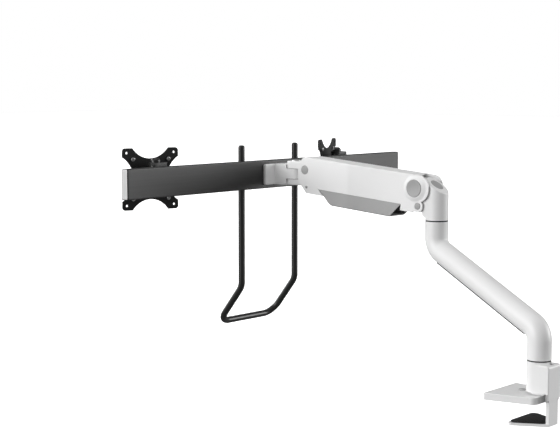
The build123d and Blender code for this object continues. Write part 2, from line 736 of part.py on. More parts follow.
def elbow_cap():
    centre, normal = elbow_cap_centre()
    low = centre - normal * (ELBOW_CAP_THICK - ELBOW_CAP_PROUD)
    cap = rod(ELBOW_CAP_RADIUS, low, centre + normal * ELBOW_CAP_PROUD)
    rim = cap.edges().sort_by(Axis(low, normal))[-1]
    return fillet(rim, ELBOW_CAP_PROUD * ELBOW_CAP_ROUND)


def web_pin(radius, centre, half):
    """A pin along X with chamfered ends."""
    pin = across(radius, centre, half)
    return chamfer(pin.edges().filter_by(GeomType.CIRCLE), PIN_CHAMFER)


# Upper arm, drawn level with its main pivot at the origin and then set to its pitch


def case_outline():
    front = ARM_LENGTH + CASE_FRONT
    body = Polygon(
        (0, CASE_ABOVE),
        (front, CASE_ABOVE),
        (front, CASE_FRONT_CUT - CASE_BELOW),
        (front - CASE_FRONT_CUT, -CASE_BELOW),
        (0, -CASE_BELOW),
        align=None,
    )
    body = fillet(body.vertices().group_by(Axis.X)[-1].sort_by(Axis.Y)[-1], CASE_FRONT_ROUND)
    rear_end = -CASE_REAR_BACK - CASE_REAR_RADIUS
    rear_disc = disc_at(-CASE_REAR_BACK, 0, CASE_REAR_RADIUS) & span(
        (rear_end, CASE_REAR_RADIUS), (-CASE_REAR_RADIUS, CASE_ABOVE)
    )
    ear = hull_of(
        disc_at(-CASE_EAR_BACK, -CASE_EAR_DROP, CASE_EAR_RADIUS),
        disc_at(CASE_EAR_RADIUS, -CASE_EAR_DROP, CASE_EAR_RADIUS),
    )
    slope = TRAY_FRONT_SLANT / (TRAY_BOTTOM - TRAY_TOP)
    tray_rear, tray_front = TRAY_REAR - SEAM, TRAY_FRONT + SEAM * (1 + slope)
    tray_top, tray_low = SEAM - TRAY_TOP, -CASE_BELOW - OVERCUT
    lean = (tray_top - tray_low) * slope
    tray = Polygon(
        (tray_rear, tray_top),
        (tray_front, tray_top),
        (tray_front - lean, tray_low),
        (tray_rear, tray_low),
        align=None,
    )
    return body + rear_disc + ear - tray


def bevel_section():
    """The case's cross-section: a block with its two upper corners cut off."""
    half, top = CASE_HALF + COLLAR_PROUD, CASE_ABOVE
    edge = CASE_EDGE + COLLAR_PROUD
    section = Polygon(
        (-half, -2 * CASE_BELOW),
        (half, -2 * CASE_BELOW),
        (half, top - edge),
        (half - edge, top),
        (edge - half, top),
        (-half, top - edge),
        align=None,
    )
    face = Plane.XZ.offset(2 * CASE_REAR_RADIUS) * section
    return extrude(face, amount=2 * ARM_LENGTH, dir=(0, 1, 0))


def cap_recess(y, z, radius, face):
    """Round recesses in both cheeks for a pair of caps, cut inwards from a face."""
    seat = face + CAP_PROUD - CAP_THICK
    cut = across(radius + SEATED, (0, y, z), face + OVERCUT)
    return cut - across(2 * radius, (0, y, z), seat)


def cap_pair(y, z, radius, face):
    """A cap on each side of the arm, a little proud of the face that it sits in."""
    seat = face + CAP_PROUD - CAP_THICK
    caps = []
    for side in (-1, 1):
        cap = rod(radius, (side * seat, y, z), (side * (face + CAP_PROUD), y, z))
        rim = cap.edges().filter_by(GeomType.CIRCLE).sort_by(Axis.X)[-1 if side > 0 else 0]
        caps.append(fillet(rim, CAP_PROUD * CAP_ROUND))
    return caps


def collars():
    """A low cone on each cheek round the main pivot."""
    outer = CASE_HALF + COLLAR_PROUD
    profile = Polygon(
        (-outer, 0),
        (outer, 0),
        (outer, COLLAR_RADIUS),
        (CASE_HALF, COLLAR_BASE),
        (-CASE_HALF, COLLAR_BASE),
        (-outer, COLLAR_RADIUS),
        align=None,
    )
    return revolve(profile, Axis.X)


def arm_case():
    shape = side_shape(case_outline(), -CASE_HALF, CASE_HALF) + collars()
    shape &= bevel_section()
    reach = 2 * ARM_LENGTH
    hollow = box((-CASE_INNER, CASE_INNER), (-reach, reach), (-reach, CASE_ABOVE - CASE_TOP_WALL))
    shape -= hollow
    rear_open = box((-CASE_INNER, CASE_INNER), (-reach, CASE_TOP_START), (-reach, reach))
    front_open = box(
        (-CASE_INNER, CASE_INNER), (ARM_LENGTH + CASE_TOP_END, 2 * reach), (-reach, reach)
    )
    shape = shape - rear_open - front_open
    for side in (-1, 1):
        inner, outer = side * (EYE_HALF + SEAM), side * (EYE_HALF + SEAM + HANGER_THICK)
        hanger = hull_of(
            disc_at(EYE_FORWARD, -SPRING_DROP, EYE_RADIUS),
            span((EYE_FORWARD - EYE_RADIUS, EYE_FORWARD + EYE_RADIUS), (0, CASE_ABOVE - CASE_TOP_WALL / 2)),
        )
        shape += side_shape(hanger, min(inner, outer), max(inner, outer))
    shape -= across(EYE_PIN_RADIUS + SEATED, (0, EYE_FORWARD, -SPRING_DROP), CASE_INNER)
    shape -= across(PIVOT_RADIUS + SEATED, (0, 0, 0), CASE_HALF + COLLAR_PROUD)
    shape -= across(FRONT_PIN_RADIUS + SEATED, (0, ARM_LENGTH, 0), CASE_HALF)
    shape -= cap_recess(0, 0, BIG_CAP_RADIUS, CASE_HALF + COLLAR_PROUD)
    shape -= cap_recess(ARM_LENGTH, 0, FRONT_CAP_RADIUS, CASE_HALF)
    shape -= cap_recess(-CASE_EAR_BACK, -CASE_EAR_DROP, SMALL_CAP_RADIUS, CASE_HALF)
    shape -= cap_recess(ARM_LENGTH - CASE_SCREW_BACK, -CASE_SCREW_DROP, CASE_SCREW_RADIUS, CASE_HALF)
    return ARM * shape


def washer_pair(y, bore):
    """Thrust washers between a hub and the case's two cheeks."""
    play = (CASE_INNER - HUB_HALF - WASHER_THICK) / 2
    low, high = HUB_HALF + play, CASE_INNER - play
    washers = []
    for side in (-1, 1):
        washer = rod(HUB_RADIUS, (side * low, y, 0), (side * high, y, 0))
        washers.append(washer - across(bore + SEATED, (0, y, 0), CASE_INNER))
    return washers


def tray_outline(wall, open_rear):
    """The cable tray's side outline, drawn in by its wall thickness for the hollow."""
    rear = TRAY_REAR + (-TRAY_REAR_SLANT if open_rear else 0)
    rear_low = TRAY_REAR + TRAY_REAR_SLANT - (2 * TRAY_REAR_SLANT if open_rear else 0)
    bottom = wall - TRAY_BOTTOM
    front = TRAY_FRONT - wall
    top = -TRAY_TOP + (wall if open_rear else 0)
    outline = Polygon(
        (rear, top), (front, top), (front - TRAY_FRONT_SLANT, bottom), (rear_low, bottom), align=None
    )
    low_front = outline.vertices().group_by(Axis.Y)[0].sort_by(Axis.X)[-1]
    return fillet(low_front, TRAY_FRONT_ROUND)


def arm_cable_tray():
    shape = side_shape(tray_outline(0, False), -CASE_HALF, CASE_HALF)
    long_edges = shape.edges().filter_by(Axis.Y).group_by(Axis.Z)[0]
    shape = fillet(long_edges, TRAY_EDGE)
    hollow = CASE_HALF - TRAY_WALL
    shape -= side_shape(tray_outline(TRAY_WALL, True), -hollow, hollow)
    exit_y = (TRAY_FRONT - TRAY_FRONT_SLANT, TRAY_FRONT + OVERCUT)
    exit_z = (-TRAY_TOP - TRAY_EXIT_DEPTH, -TRAY_TOP + OVERCUT)
    shape -= box((-TRAY_EXIT_HALF, TRAY_EXIT_HALF), exit_y, exit_z)
    outer = CASE_INNER - SEATED
    for side in (-1, 1):
        for y in TRAY_TAB_PLACES:
            tab_x = (side * (outer - TRAY_WALL), side * outer)
            root_x = (side * (outer - TRAY_WALL), side * hollow)
            tab_y = (y - TRAY_TAB_HALF, y + TRAY_TAB_HALF)
            shape += box(tab_x, tab_y, (-TRAY_TOP - TRAY_TAB_RISE, -TRAY_TOP + TRAY_TAB_RISE))
            shape += box(root_x, tab_y, (-TRAY_TOP - TRAY_TAB_RISE, -TRAY_TOP - SEAM))
    return ARM * shape


def gas_spring_cylinder():
    def bar(radius, start, end):
        return rod(radius, (0, start, -SPRING_DROP), (0, end, -SPRING_DROP))

    shape = bar(CYLINDER_RADIUS, CYLINDER_START, CYLINDER_END)
    shape = chamfer(shape.edges().filter_by(GeomType.CIRCLE), CYLINDER_CHAMFER)
    bore_start = CYLINDER_START + CYLINDER_NOSE
    shape -= bar(CYLINDER_RADIUS - CYLINDER_WALL, bore_start, CYLINDER_END - CYLINDER_NOSE)
    shape -= bar(SPRING_ROD_RADIUS + RUNNING, CYLINDER_START, bore_start)
    eye = hull_of(
        disc_at(EYE_FORWARD, -SPRING_DROP, EYE_RADIUS),
        span(
            (CYLINDER_END - CYLINDER_CHAMFER, CYLINDER_END),
            (-SPRING_DROP - EYE_RADIUS, EYE_RADIUS - SPRING_DROP),
        ),
    )
    shape += side_shape(eye, -EYE_HALF, EYE_HALF)
    return ARM * (shape - across(EYE_PIN_RADIUS + SEATED, (0, EYE_FORWARD, -SPRING_DROP), EYE_HALF))


def gas_spring_rod():
    """The spring's rod and piston, with a slotted eye at the pivot that the linkage leaves open."""
    inside = CYLINDER_START + ROD_INSIDE
    shape = rod(SPRING_ROD_RADIUS, (0, 0, -SPRING_DROP), (0, inside, -SPRING_DROP))
    piston_radius = CYLINDER_RADIUS - CYLINDER_WALL - RUNNING
    shape += rod(piston_radius, (0, inside - PISTON_LENGTH, -SPRING_DROP), (0, inside, -SPRING_DROP))
    slot_half = SPRING_PIN_RADIUS + ROD_SLOT_SIDE
    slot_top = -SPRING_DROP + slot_half + ROD_SLOT_REACH
    slot_bottom = -SPRING_DROP - slot_half
    block_y = (-slot_half - ROD_EYE_WALL, slot_half + ROD_EYE_WALL)
    block_z = (slot_bottom - ROD_EYE_WALL, slot_top + ROD_EYE_WALL)
    block = side_shape(span(block_y, block_z), -ROD_EYE_HALF, ROD_EYE_HALF)
    slot = side_shape(span((-slot_half, slot_half), (slot_bottom, slot_top)), -ROD_EYE_HALF, ROD_EYE_HALF)
    return ARM * (shape + block - slot)


def parallel_links():
    """Two straps that keep the head level as the arm moves."""
    rear, front = PIVOT + LINK_OFFSET, FRONT_PIVOT + LINK_OFFSET
    along = hull_of(disc_at(rear.Y, rear.Z, LINK_HALF_HEIGHT), disc_at(front.Y, front.Z, LINK_HALF_HEIGHT))
    straps = []
    for low, high in ((-LINK_INNER - LINK_THICK, -LINK_INNER), (LINK_INNER, LINK_INNER + LINK_THICK)):
        strap = side_shape(along, ELBOW_X + low, ELBOW_X + high)
        strap -= across(LINK_PIN_RADIUS + RUNNING, rear, HUB_HALF)
        straps.append(strap - across(LINK_PIN_RADIUS + OPEN_PIVOT, front, HUB_HALF))
    return straps


# Head: the fork that the bar's bracket swivels in


def head_fork():
    link = FRONT_PIVOT + LINK_OFFSET
    rear = FRONT_PIVOT.Y + FORK_REAR
    low, high = SWIVEL.Z - FORK_BELOW, SWIVEL.Z + FORK_ABOVE
    neck = pivot_web(FRONT_PIVOT, link, span((rear, rear + FORK_EDGE), (low, high)))
    shape = side_shape(neck, SWIVEL.X - WEB_HALF, SWIVEL.X + WEB_HALF)
    shape += across(HUB_RADIUS, FRONT_PIVOT, HUB_HALF)
    block = Pos(SWIVEL.X, (rear + SWIVEL.Y) / 2) * Rectangle(2 * FORK_HALF, SWIVEL.Y - rear)
    block += Pos(SWIVEL.X, SWIVEL.Y) * Circle(FORK_HALF)
    lugs = plan_shape(block, low, high)
    rims = lugs.edges().group_by(Axis.Z)
    lugs = fillet(rims[0] + rims[-1], FORK_EDGE)
    slot_half = TONGUE_HALF_HEIGHT + SWIVEL_WASHER_THICK
    slot_y = (SWIVEL.Y - TONGUE_RADIUS - FORK_SLOT_ROOM, SWIVEL.Y + 2 * FORK_HALF)
    slot_x = (SWIVEL.X - 2 * FORK_HALF, SWIVEL.X + 2 * FORK_HALF)
    shape += lugs
    shape -= box(slot_x, slot_y, (SWIVEL.Z - slot_half, SWIVEL.Z + slot_half))
    shape -= upright(SWIVEL_PIN_RADIUS + SEATED, SWIVEL, low, high)
    shape -= across(FRONT_PIN_RADIUS + RUNNING, FRONT_PIVOT, HUB_HALF)
    return shape - across(LINK_PIN_RADIUS + SEATED, link, WEB_HALF)


def swivel_pin():
    low, high = SWIVEL.Z - FORK_BELOW, SWIVEL.Z + FORK_ABOVE
    head = upright(SWIVEL_PIN_HEAD, SWIVEL, high, high + SWIVEL_PIN_HEAD_HEIGHT)
    head = fillet(head.edges().sort_by(Axis.Z)[-1], SWIVEL_PIN_HEAD_HEIGHT / 2)
    return head + upright(SWIVEL_PIN_RADIUS, SWIVEL, low, high)


def swivel_washers():
    """Thin discs above and below the bracket's tongue."""
    washers = []
    for side in (-1, 1):
        near = SWIVEL.Z + side * TONGUE_HALF_HEIGHT
        far = near + side * (SWIVEL_WASHER_THICK - WASHER_PLAY)
        washer = upright(TONGUE_RADIUS - SWIVEL_WASHER_INSET, SWIVEL, min(near, far), max(near, far))
        bore = upright(SWIVEL_PIN_RADIUS + RUNNING, SWIVEL, near - OVERCUT, near + OVERCUT)
        washers.append(washer - bore)
    return washers


def bracket_screw_places():
    return [
        Vector(BAR.X + x, 0, BAR.Z + z)
        for x in (-BRACKET_SCREW_X, BRACKET_SCREW_X)
        for z in (-BRACKET_SCREW_Z, BRACKET_SCREW_Z)
    ]


def along_y(radius, place, y_low, y_high):
    return rod(radius, (place.X, y_low, place.Z), (place.X, y_high, place.Z))


def bar_bracket():
    """The plate on the bar, its neck, and the tongue that turns in the fork."""
    plate_back = BAR.Y - BRACKET_THICK
    height = (BAR.Z - BRACKET_HALF_HEIGHT, BAR.Z + BRACKET_HALF_HEIGHT)
    plate = box((BAR.X - BRACKET_HALF, BAR.X + BRACKET_HALF), (plate_back, BAR.Y), height)
    plate = fillet(plate.edges().filter_by(Axis.Y), BRACKET_ROUND)
    plate = fillet(plate.faces().sort_by(Axis.Y)[0].edges(), BRACKET_EDGE)
    neck_back = SWIVEL.Y + BRACKET_NECK_REAR
    neck_x = (SWIVEL.X - BRACKET_NECK_HALF, SWIVEL.X + BRACKET_NECK_HALF)
    neck = box(neck_x, (neck_back, plate_back + BRACKET_EDGE), height)
    neck = fillet(neck.edges().filter_by(Axis.Y), BRACKET_NECK_EDGE)
    neck -= upright(FORK_HALF + BRACKET_NECK_GAP, SWIVEL, *height)
    tongue = Pos(SWIVEL.X, (SWIVEL.Y + plate_back) / 2) * Rectangle(
        2 * TONGUE_RADIUS, plate_back - SWIVEL.Y
    )
    tongue += Pos(SWIVEL.X, SWIVEL.Y) * Circle(TONGUE_RADIUS)
    tongue_low, tongue_high = SWIVEL.Z - TONGUE_HALF_HEIGHT, SWIVEL.Z + TONGUE_HALF_HEIGHT
    shape = plate + neck + plan_shape(tongue, tongue_low, tongue_high)
    shape -= upright(SWIVEL_PIN_RADIUS + RUNNING, SWIVEL, tongue_low, tongue_high)
    for place in bracket_screw_places():
        shape -= along_y(BRACKET_SCREW_RADIUS + SEATED, place, plate_back + BRACKET_SCREW_END, BAR.Y)
    return shape


def bracket_screws():
    screws = []
    tip = BAR.Y - BRACKET_THICK + BRACKET_SCREW_END
    inside = BAR.Y + BAR_WALL
    for place in bracket_screw_places():
        shank = along_y(BRACKET_SCREW_RADIUS, place, tip, inside)
        head = along_y(BRACKET_SCREW_HEAD, place, inside, inside + BRACKET_SCREW_HEAD_HEIGHT)
        screws.append(shank + head)
    return screws


# Crossbar and handle


def bar_chambers():
    """The two closed hollows of the extrusion, above and below its rail, drawn in Y and Z."""
    low = RAIL_NUT_HALF + BAR_WALL
    high = BAR_HEIGHT / 2 - BAR_WALL
    depth = (BAR.Y + BAR_WALL, BAR_USER_Y - BAR_WALL)
    return span(depth, (BAR.Z + low, BAR.Z + high)) + span(depth, (BAR.Z - high, BAR.Z - low))


def crossbar():
    outline = span((BAR.Y, BAR_USER_Y), (BAR.Z - BAR_HEIGHT / 2, BAR.Z + BAR_HEIGHT / 2))
    outline = fillet(outline.vertices(), BAR_ROUND)
    mouth = span((BAR_USER_Y - RAIL_LIP, BAR_USER_Y), (BAR.Z - RAIL_HALF, BAR.Z + RAIL_HALF))
    pocket_y = (BAR_USER_Y - RAIL_LIP - RAIL_POCKET, BAR_USER_Y - RAIL_LIP)
    pocket = span(pocket_y, (BAR.Z - RAIL_NUT_HALF, BAR.Z + RAIL_NUT_HALF))
    section = outline - mouth - pocket - bar_chambers()
    shape = side_shape(section, BAR.X - BAR_LENGTH / 2, BAR.X + BAR_LENGTH / 2)
    for place in bracket_screw_places():
        shape -= along_y(BRACKET_SCREW_RADIUS + SEATED, place, BAR.Y, BAR.Y + BAR_WALL)
    return shape


def end_cap(side):
    """A rounded cap on one end of the bar, with two plugs in the bar's hollows."""
    end = BAR.X + side * BAR_LENGTH / 2
    outer = end + side * END_CAP_THICK
    outline = span((BAR.Y, BAR_USER_Y), (BAR.Z - BAR_HEIGHT / 2, BAR.Z + BAR_HEIGHT / 2))
    outline = fillet(outline.vertices(), BAR_ROUND)
    cap = side_shape(outline, min(end, outer), max(end, outer))
    face = cap.faces().sort_by(Axis.X)[-1 if side > 0 else 0]
    cap = fillet(face.edges(), END_CAP_ROUND)
    plug_end = end - side * END_CAP_PLUG
    plugs = offset(bar_chambers(), -SEATED)
    return cap + side_shape(plugs, min(end, plug_end), max(end, plug_end))


def handle_y():
    return BAR_USER_Y + HANDLE_CLAMP_BACK + HANDLE_RADIUS


def handle():
    y = handle_y()
    kick_y, kick_z = y + HANDLE_KICK, BAR.Z - HANDLE_DROP - HANDLE_KICK_DROP
    left, right = BAR.X - HANDLE_HALF, BAR.X + HANDLE_HALF
    path = FilletPolyline(
        (left, y, BAR.Z + HANDLE_TOP),
        (left, y, BAR.Z - HANDLE_DROP),
        (left, kick_y, kick_z),
        (right, kick_y, kick_z),
        (right, y, BAR.Z - HANDLE_DROP),
        (right, y, BAR.Z + HANDLE_TOP),
        radius=HANDLE_BEND,
    )
    start = Plane(origin=path @ 0, z_dir=path % 0)
    shape = sweep(start * Circle(HANDLE_RADIUS), path=path)
    tops = shape.edges().filter_by(GeomType.CIRCLE).group_by(Axis.Z)[-1]
    return fillet(tops, HANDLE_RADIUS * HANDLE_TIP)


def handle_clamps():
    """The two blocks that hold the handle's uprights against the bar."""
    y = handle_y()
    clamps = []
    for x in (BAR.X - HANDLE_HALF, BAR.X + HANDLE_HALF):
        block = box(
            (x - HANDLE_CLAMP_HALF, x + HANDLE_CLAMP_HALF),
            (BAR_USER_Y, y + HANDLE_RADIUS + HANDLE_CLAMP_WALL),
            (BAR.Z - HANDLE_CLAMP_HALF_HEIGHT, BAR.Z + HANDLE_CLAMP_HALF_HEIGHT),
        )
        block = fillet(block.edges().filter_by(Axis.Z).group_by(Axis.Y)[-1], HANDLE_CLAMP_WALL)
        clamps.append(block - upright(HANDLE_RADIUS + SEATED, Vector(x, y), 0, 2 * BAR.Z))
    return clamps


# Screen heads: each is drawn with the bar's user face at Y = 0 under its own X = 0, at the bar's height


def head_place(side):
    return Location((BAR.X + side * HEAD_SPREAD, BAR_USER_Y, BAR.Z))


def head_turned(side):
    """The place of what swivels with the screen, with the swivel axis as its origin."""
    return head_place(side) * Location((0, YAW_FORWARD, 0), (0, 0, side * HEAD_YAW))


def carriage(side):
    """The block that slides on the bar's rail, with two ears for the tilt pin."""
    width = (-CARRIAGE_HALF, CARRIAGE_HALF)
    back, front = SLIDING, SLIDING + CARRIAGE_THICK
    shape = box(width, (back, front), (-CARRIAGE_HALF_HEIGHT, CARRIAGE_HALF_HEIGHT))
    shape = fillet(shape.edges().filter_by(Axis.Y), CARRIAGE_CORNER)
    shape = chamfer(shape.faces().sort_by(Axis.Y)[-1].edges(), CARRIAGE_EDGE)
    mouth = RAIL_HALF - SLIDING
    nut = RAIL_NUT_HALF - SLIDING
    nut_y = (-RAIL_LIP - RAIL_POCKET + SLIDING, -RAIL_LIP - SLIDING)
    shape += box(width, (nut_y[1], back), (-mouth, mouth))
    shape += box(width, nut_y, (-nut, nut))
    ear = hull_of(
        disc_at(TILT_FORWARD, 0, TILT_RADIUS),
        span((front - CARRIAGE_EDGE, front), (-TILT_EAR_ROOT, TILT_EAR_ROOT)),
    )
    inner = TILT_HALF + SEAM
    shape += side_shape(ear, inner, inner + TILT_EAR_THICK)
    shape += side_shape(ear, -inner - TILT_EAR_THICK, -inner)
    pin = across(TILT_PIN_RADIUS + SEATED, (0, TILT_FORWARD, 0), CARRIAGE_HALF)
    return head_place(side) * (shape - pin)


def tilt_pin(side):
    half = TILT_HALF + SEAM + TILT_EAR_THICK + TILT_PIN_PROUD
    return head_place(side) * web_pin(TILT_PIN_RADIUS, (0, TILT_FORWARD, 0), half)


def tilt_block(side):
    """The knuckle on the tilt pin, with an upper and a lower ear for the swivel pin."""
    web_front = YAW_FORWARD - YAW_BARREL_RADIUS - SEAM
    web_back = web_front - YAW_WEB_THICK
    top = YAW_BARREL_HALF + SEAM + YAW_EAR_THICK
    knuckle = hull_of(
        disc_at(TILT_FORWARD, 0, TILT_RADIUS),
        span((web_back, web_back + YAW_WEB_THICK / 2), (-TILT_RADIUS, TILT_RADIUS)),
    )
    shape = side_shape(knuckle, -TILT_HALF, TILT_HALF)
    width = (-YAW_EAR_RADIUS, YAW_EAR_RADIUS)
    shape += box(width, (web_back, web_front), (-top, top))
    ear = Pos(0, YAW_FORWARD) * Circle(YAW_EAR_RADIUS)
    ear += Pos(0, (web_back + YAW_FORWARD) / 2) * Rectangle(2 * YAW_EAR_RADIUS, YAW_FORWARD - web_back)
    shape += plan_shape(ear, top - YAW_EAR_THICK, top)
    shape += plan_shape(ear, -top, YAW_EAR_THICK - top)
    shape -= across(TILT_PIN_RADIUS + RUNNING, (0, TILT_FORWARD, 0), TILT_HALF)
    return head_place(side) * (shape - upright(YAW_PIN_RADIUS + SEATED, Vector(0, YAW_FORWARD), -top, top))


def yaw_pin(side):
    """The swivel pin with its domed top."""
    axis = Vector(0, YAW_FORWARD)
    top = YAW_BARREL_HALF + SEAM + YAW_EAR_THICK
    dome = upright(YAW_DOME_RADIUS, axis, top, top + YAW_DOME_HEIGHT)
    dome = fillet(dome.edges().sort_by(Axis.Z)[-1], YAW_DOME_HEIGHT * YAW_DOME_ROUND)
    return head_place(side) * (dome + upright(YAW_PIN_RADIUS, axis, -top, top))


def swivel_block(side):
    """The barrel on the swivel pin, with the flange and spigot that the screen plate turns on."""
    flange_back = FLANGE_FRONT - FLANGE_THICK
    shape = upright(YAW_BARREL_RADIUS, Vector(0, 0), -YAW_BARREL_HALF, YAW_BARREL_HALF)
    width = (-YAW_BARREL_RADIUS, YAW_BARREL_RADIUS)
    shape += box(width, (0, flange_back + FLANGE_THICK / 2), (-NECK_HALF_HEIGHT, NECK_HALF_HEIGHT))
    centre = Vector(0, 0, 0)
    flange = box(
        (-FLANGE_HALF, FLANGE_HALF),
        (flange_back, FLANGE_FRONT),
        (-FLANGE_HALF_HEIGHT, FLANGE_HALF_HEIGHT),
    )
    shape += fillet(flange.edges().filter_by(Axis.Y), FLANGE_CORNER)
    retainer_front = FLANGE_FRONT + VESA_THICK
    retainer_back = retainer_front - RETAINER_THICK
    shape += along_y(SPIGOT_RADIUS, centre, FLANGE_FRONT, retainer_back)
    shape += along_y(RETAINER_RADIUS, centre, retainer_back, retainer_front)
    return head_turned(side) * (
        shape - upright(YAW_PIN_RADIUS + RUNNING, Vector(0, 0), -YAW_BARREL_HALF, YAW_BARREL_HALF)
    )


def plate_corners(half):
    return [Vector(x, 0, z) for x in (-half, half) for z in (-half, half)]


def vesa_plate(side):
    """The four-armed plate that a screen is screwed to."""
    back, front = FLANGE_FRONT + VESA_GAP, FLANGE_FRONT + VESA_GAP + VESA_THICK
    outline = fillet(Rectangle(2 * VESA_HALF, 2 * VESA_HALF).vertices(), VESA_CORNER)
    high = VESA_WAIST_HIGH + VESA_WAIST_HIGH_RADIUS
    wide = VESA_WAIST_SIDE + VESA_WAIST_SIDE_RADIUS
    for sign in (-1, 1):
        outline -= Pos(0, sign * high) * Circle(VESA_WAIST_HIGH_RADIUS)
        outline -= Pos(sign * wide, 0) * Circle(VESA_WAIST_SIDE_RADIUS)
    plane = Plane(origin=(0, back, 0), x_dir=(1, 0, 0), z_dir=(0, -1, 0))
    shape = extrude(plane * outline, amount=VESA_THICK, dir=(0, 1, 0))
    centre = Vector(0, 0, 0)
    shape -= along_y(SPIGOT_RADIUS + RUNNING, centre, back, front)
    floor = front - VESA_GAP - RETAINER_THICK - VESA_GAP
    shape -= along_y(RETAINER_RADIUS + SLIDING, centre, floor, front)
    for place in plate_corners(VESA_WIDE):
        shape -= along_y(VESA_HOLE_RADIUS, place, back, front)
    for place in plate_corners(VESA_NARROW):
        shape -= along_y(VESA_SCREW_RADIUS + SEATED, place, back, front)
    return head_turned(side) * shape


def vesa_screws(side):
    """Four thumb screws in the plate's inner holes, with their heads towards the bar."""
    back = FLANGE_FRONT + VESA_GAP
    screws = []
    for place in plate_corners(VESA_NARROW):
        head = along_y(VESA_SCREW_HEAD, place, back - VESA_SCREW_HEAD_HEIGHT, back)
        shank = along_y(VESA_SCREW_RADIUS, place, back, back + VESA_SCREW_LENGTH)
        screws.append(head_turned(side) * (head + shank))
    return screws


def main():
    os.makedirs("parts", exist_ok=True)
    save("top_plate", top_plate())
    save("plate_pad", plate_pad())
    save("clamp_post", clamp_post())
    save("base_spindle", base_spindle())
    save("post_screws", *[post_screw(place) for place in post_screw_places()])
    save("base_ring", ring_at(0, 0, POST_TOP))
    save("grommet_plug", grommet_plug())
    save("jaw_guides", jaw_guide(-1), jaw_guide(1))
    save("clamp_jaw", clamp_jaw())
    save("jaw_pad", jaw_pad())
    save("clamp_screw", clamp_screw())
    save("lower_tube", lower_tube())
    save("lower_cable_cover", lower_cable_cover())
    save("base_bush", base_bush())
    save("elbow_spindle", elbow_spindle())
    save("elbow_bolt", elbow_bolt())
    save("elbow_ring", ring_at(ELBOW_X, ELBOW_Y, TUBE_TOP))
    save("elbow_housing", elbow_housing())
    save("elbow_bush", elbow_bush())
    save("elbow_cap", elbow_cap())
    link_half = LINK_INNER + LINK_THICK + LINK_PIN_PROUD
    save("link_rear_pin", web_pin(LINK_PIN_RADIUS, PIVOT + LINK_OFFSET, link_half))
    save("spring_rear_pin", web_pin(SPRING_PIN_RADIUS, SPRING_ANCHOR, WEB_HALF))
    save("arm_case", arm_case())
    shaft_half = CASE_HALF + COLLAR_PROUD + CAP_PROUD - CAP_THICK
    save("main_pivot_shaft", web_pin(PIVOT_RADIUS, PIVOT, shaft_half))
    save("main_pivot_caps", *[ARM * c for c in cap_pair(0, 0, BIG_CAP_RADIUS, CASE_HALF + COLLAR_PROUD)])
    front_half = CASE_HALF + CAP_PROUD - CAP_THICK
    save("front_pivot_pin", web_pin(FRONT_PIN_RADIUS, FRONT_PIVOT, front_half))
    save("front_pivot_caps", *[ARM * c for c in cap_pair(ARM_LENGTH, 0, FRONT_CAP_RADIUS, CASE_HALF)])
    ear_caps = cap_pair(-CASE_EAR_BACK, -CASE_EAR_DROP, SMALL_CAP_RADIUS, CASE_HALF)
    save("ear_caps", *[ARM * c for c in ear_caps])
    screw_y = ARM_LENGTH - CASE_SCREW_BACK
    case_screws = cap_pair(screw_y, -CASE_SCREW_DROP, CASE_SCREW_RADIUS, CASE_HALF)
    save("case_screws", *[ARM * c for c in case_screws])
    washers = washer_pair(0, PIVOT_RADIUS) + washer_pair(ARM_LENGTH, FRONT_PIN_RADIUS)
    save("pivot_washers", *[ARM * w for w in washers])
    save("arm_cable_tray", arm_cable_tray())
    save("gas_spring_cylinder", gas_spring_cylinder())
    hanger_half = EYE_HALF + SEAM + HANGER_THICK
    save("spring_front_pin", ARM * web_pin(EYE_PIN_RADIUS, (0, EYE_FORWARD, -SPRING_DROP), hanger_half))
    save("gas_spring_rod", gas_spring_rod())
    save("parallel_links", *parallel_links())
    save("head_fork", head_fork())
    save("link_front_pin", web_pin(LINK_PIN_RADIUS, FRONT_PIVOT + LINK_OFFSET, link_half))
    save("swivel_pin", swivel_pin())
    save("bar_bracket", bar_bracket())
    save("swivel_washers", *swivel_washers())
    save("bracket_screws", *bracket_screws())
    save("crossbar", crossbar())
    save("handle", handle())
    save("handle_clamps", *handle_clamps())
    for name, side in (("left", -1), ("right", 1)):
        save("end_cap_" + name, end_cap(side))
        save("carriage_" + name, carriage(side))
        save("tilt_pin_" + name, tilt_pin(side))
        save("tilt_block_" + name, tilt_block(side))
        save("yaw_pin_" + name, yaw_pin(side))
        save("swivel_block_" + name, swivel_block(side))
        save("vesa_plate_" + name, vesa_plate(side))
        save("vesa_screws_" + name, *vesa_screws(side))


if __name__ == "__main__":
    main()
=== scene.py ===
"""Looks for a desk-clamped arm with two mounting heads: finishes, small fittings, floor, light and camera.

Metres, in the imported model's own frame: +Z up, +Y forwards over the desk, +X along the desk edge.
"""

import json
from math import atan2, cos, pi, radians, sin

import bmesh
import bpy
from mathutils import Matrix, Vector


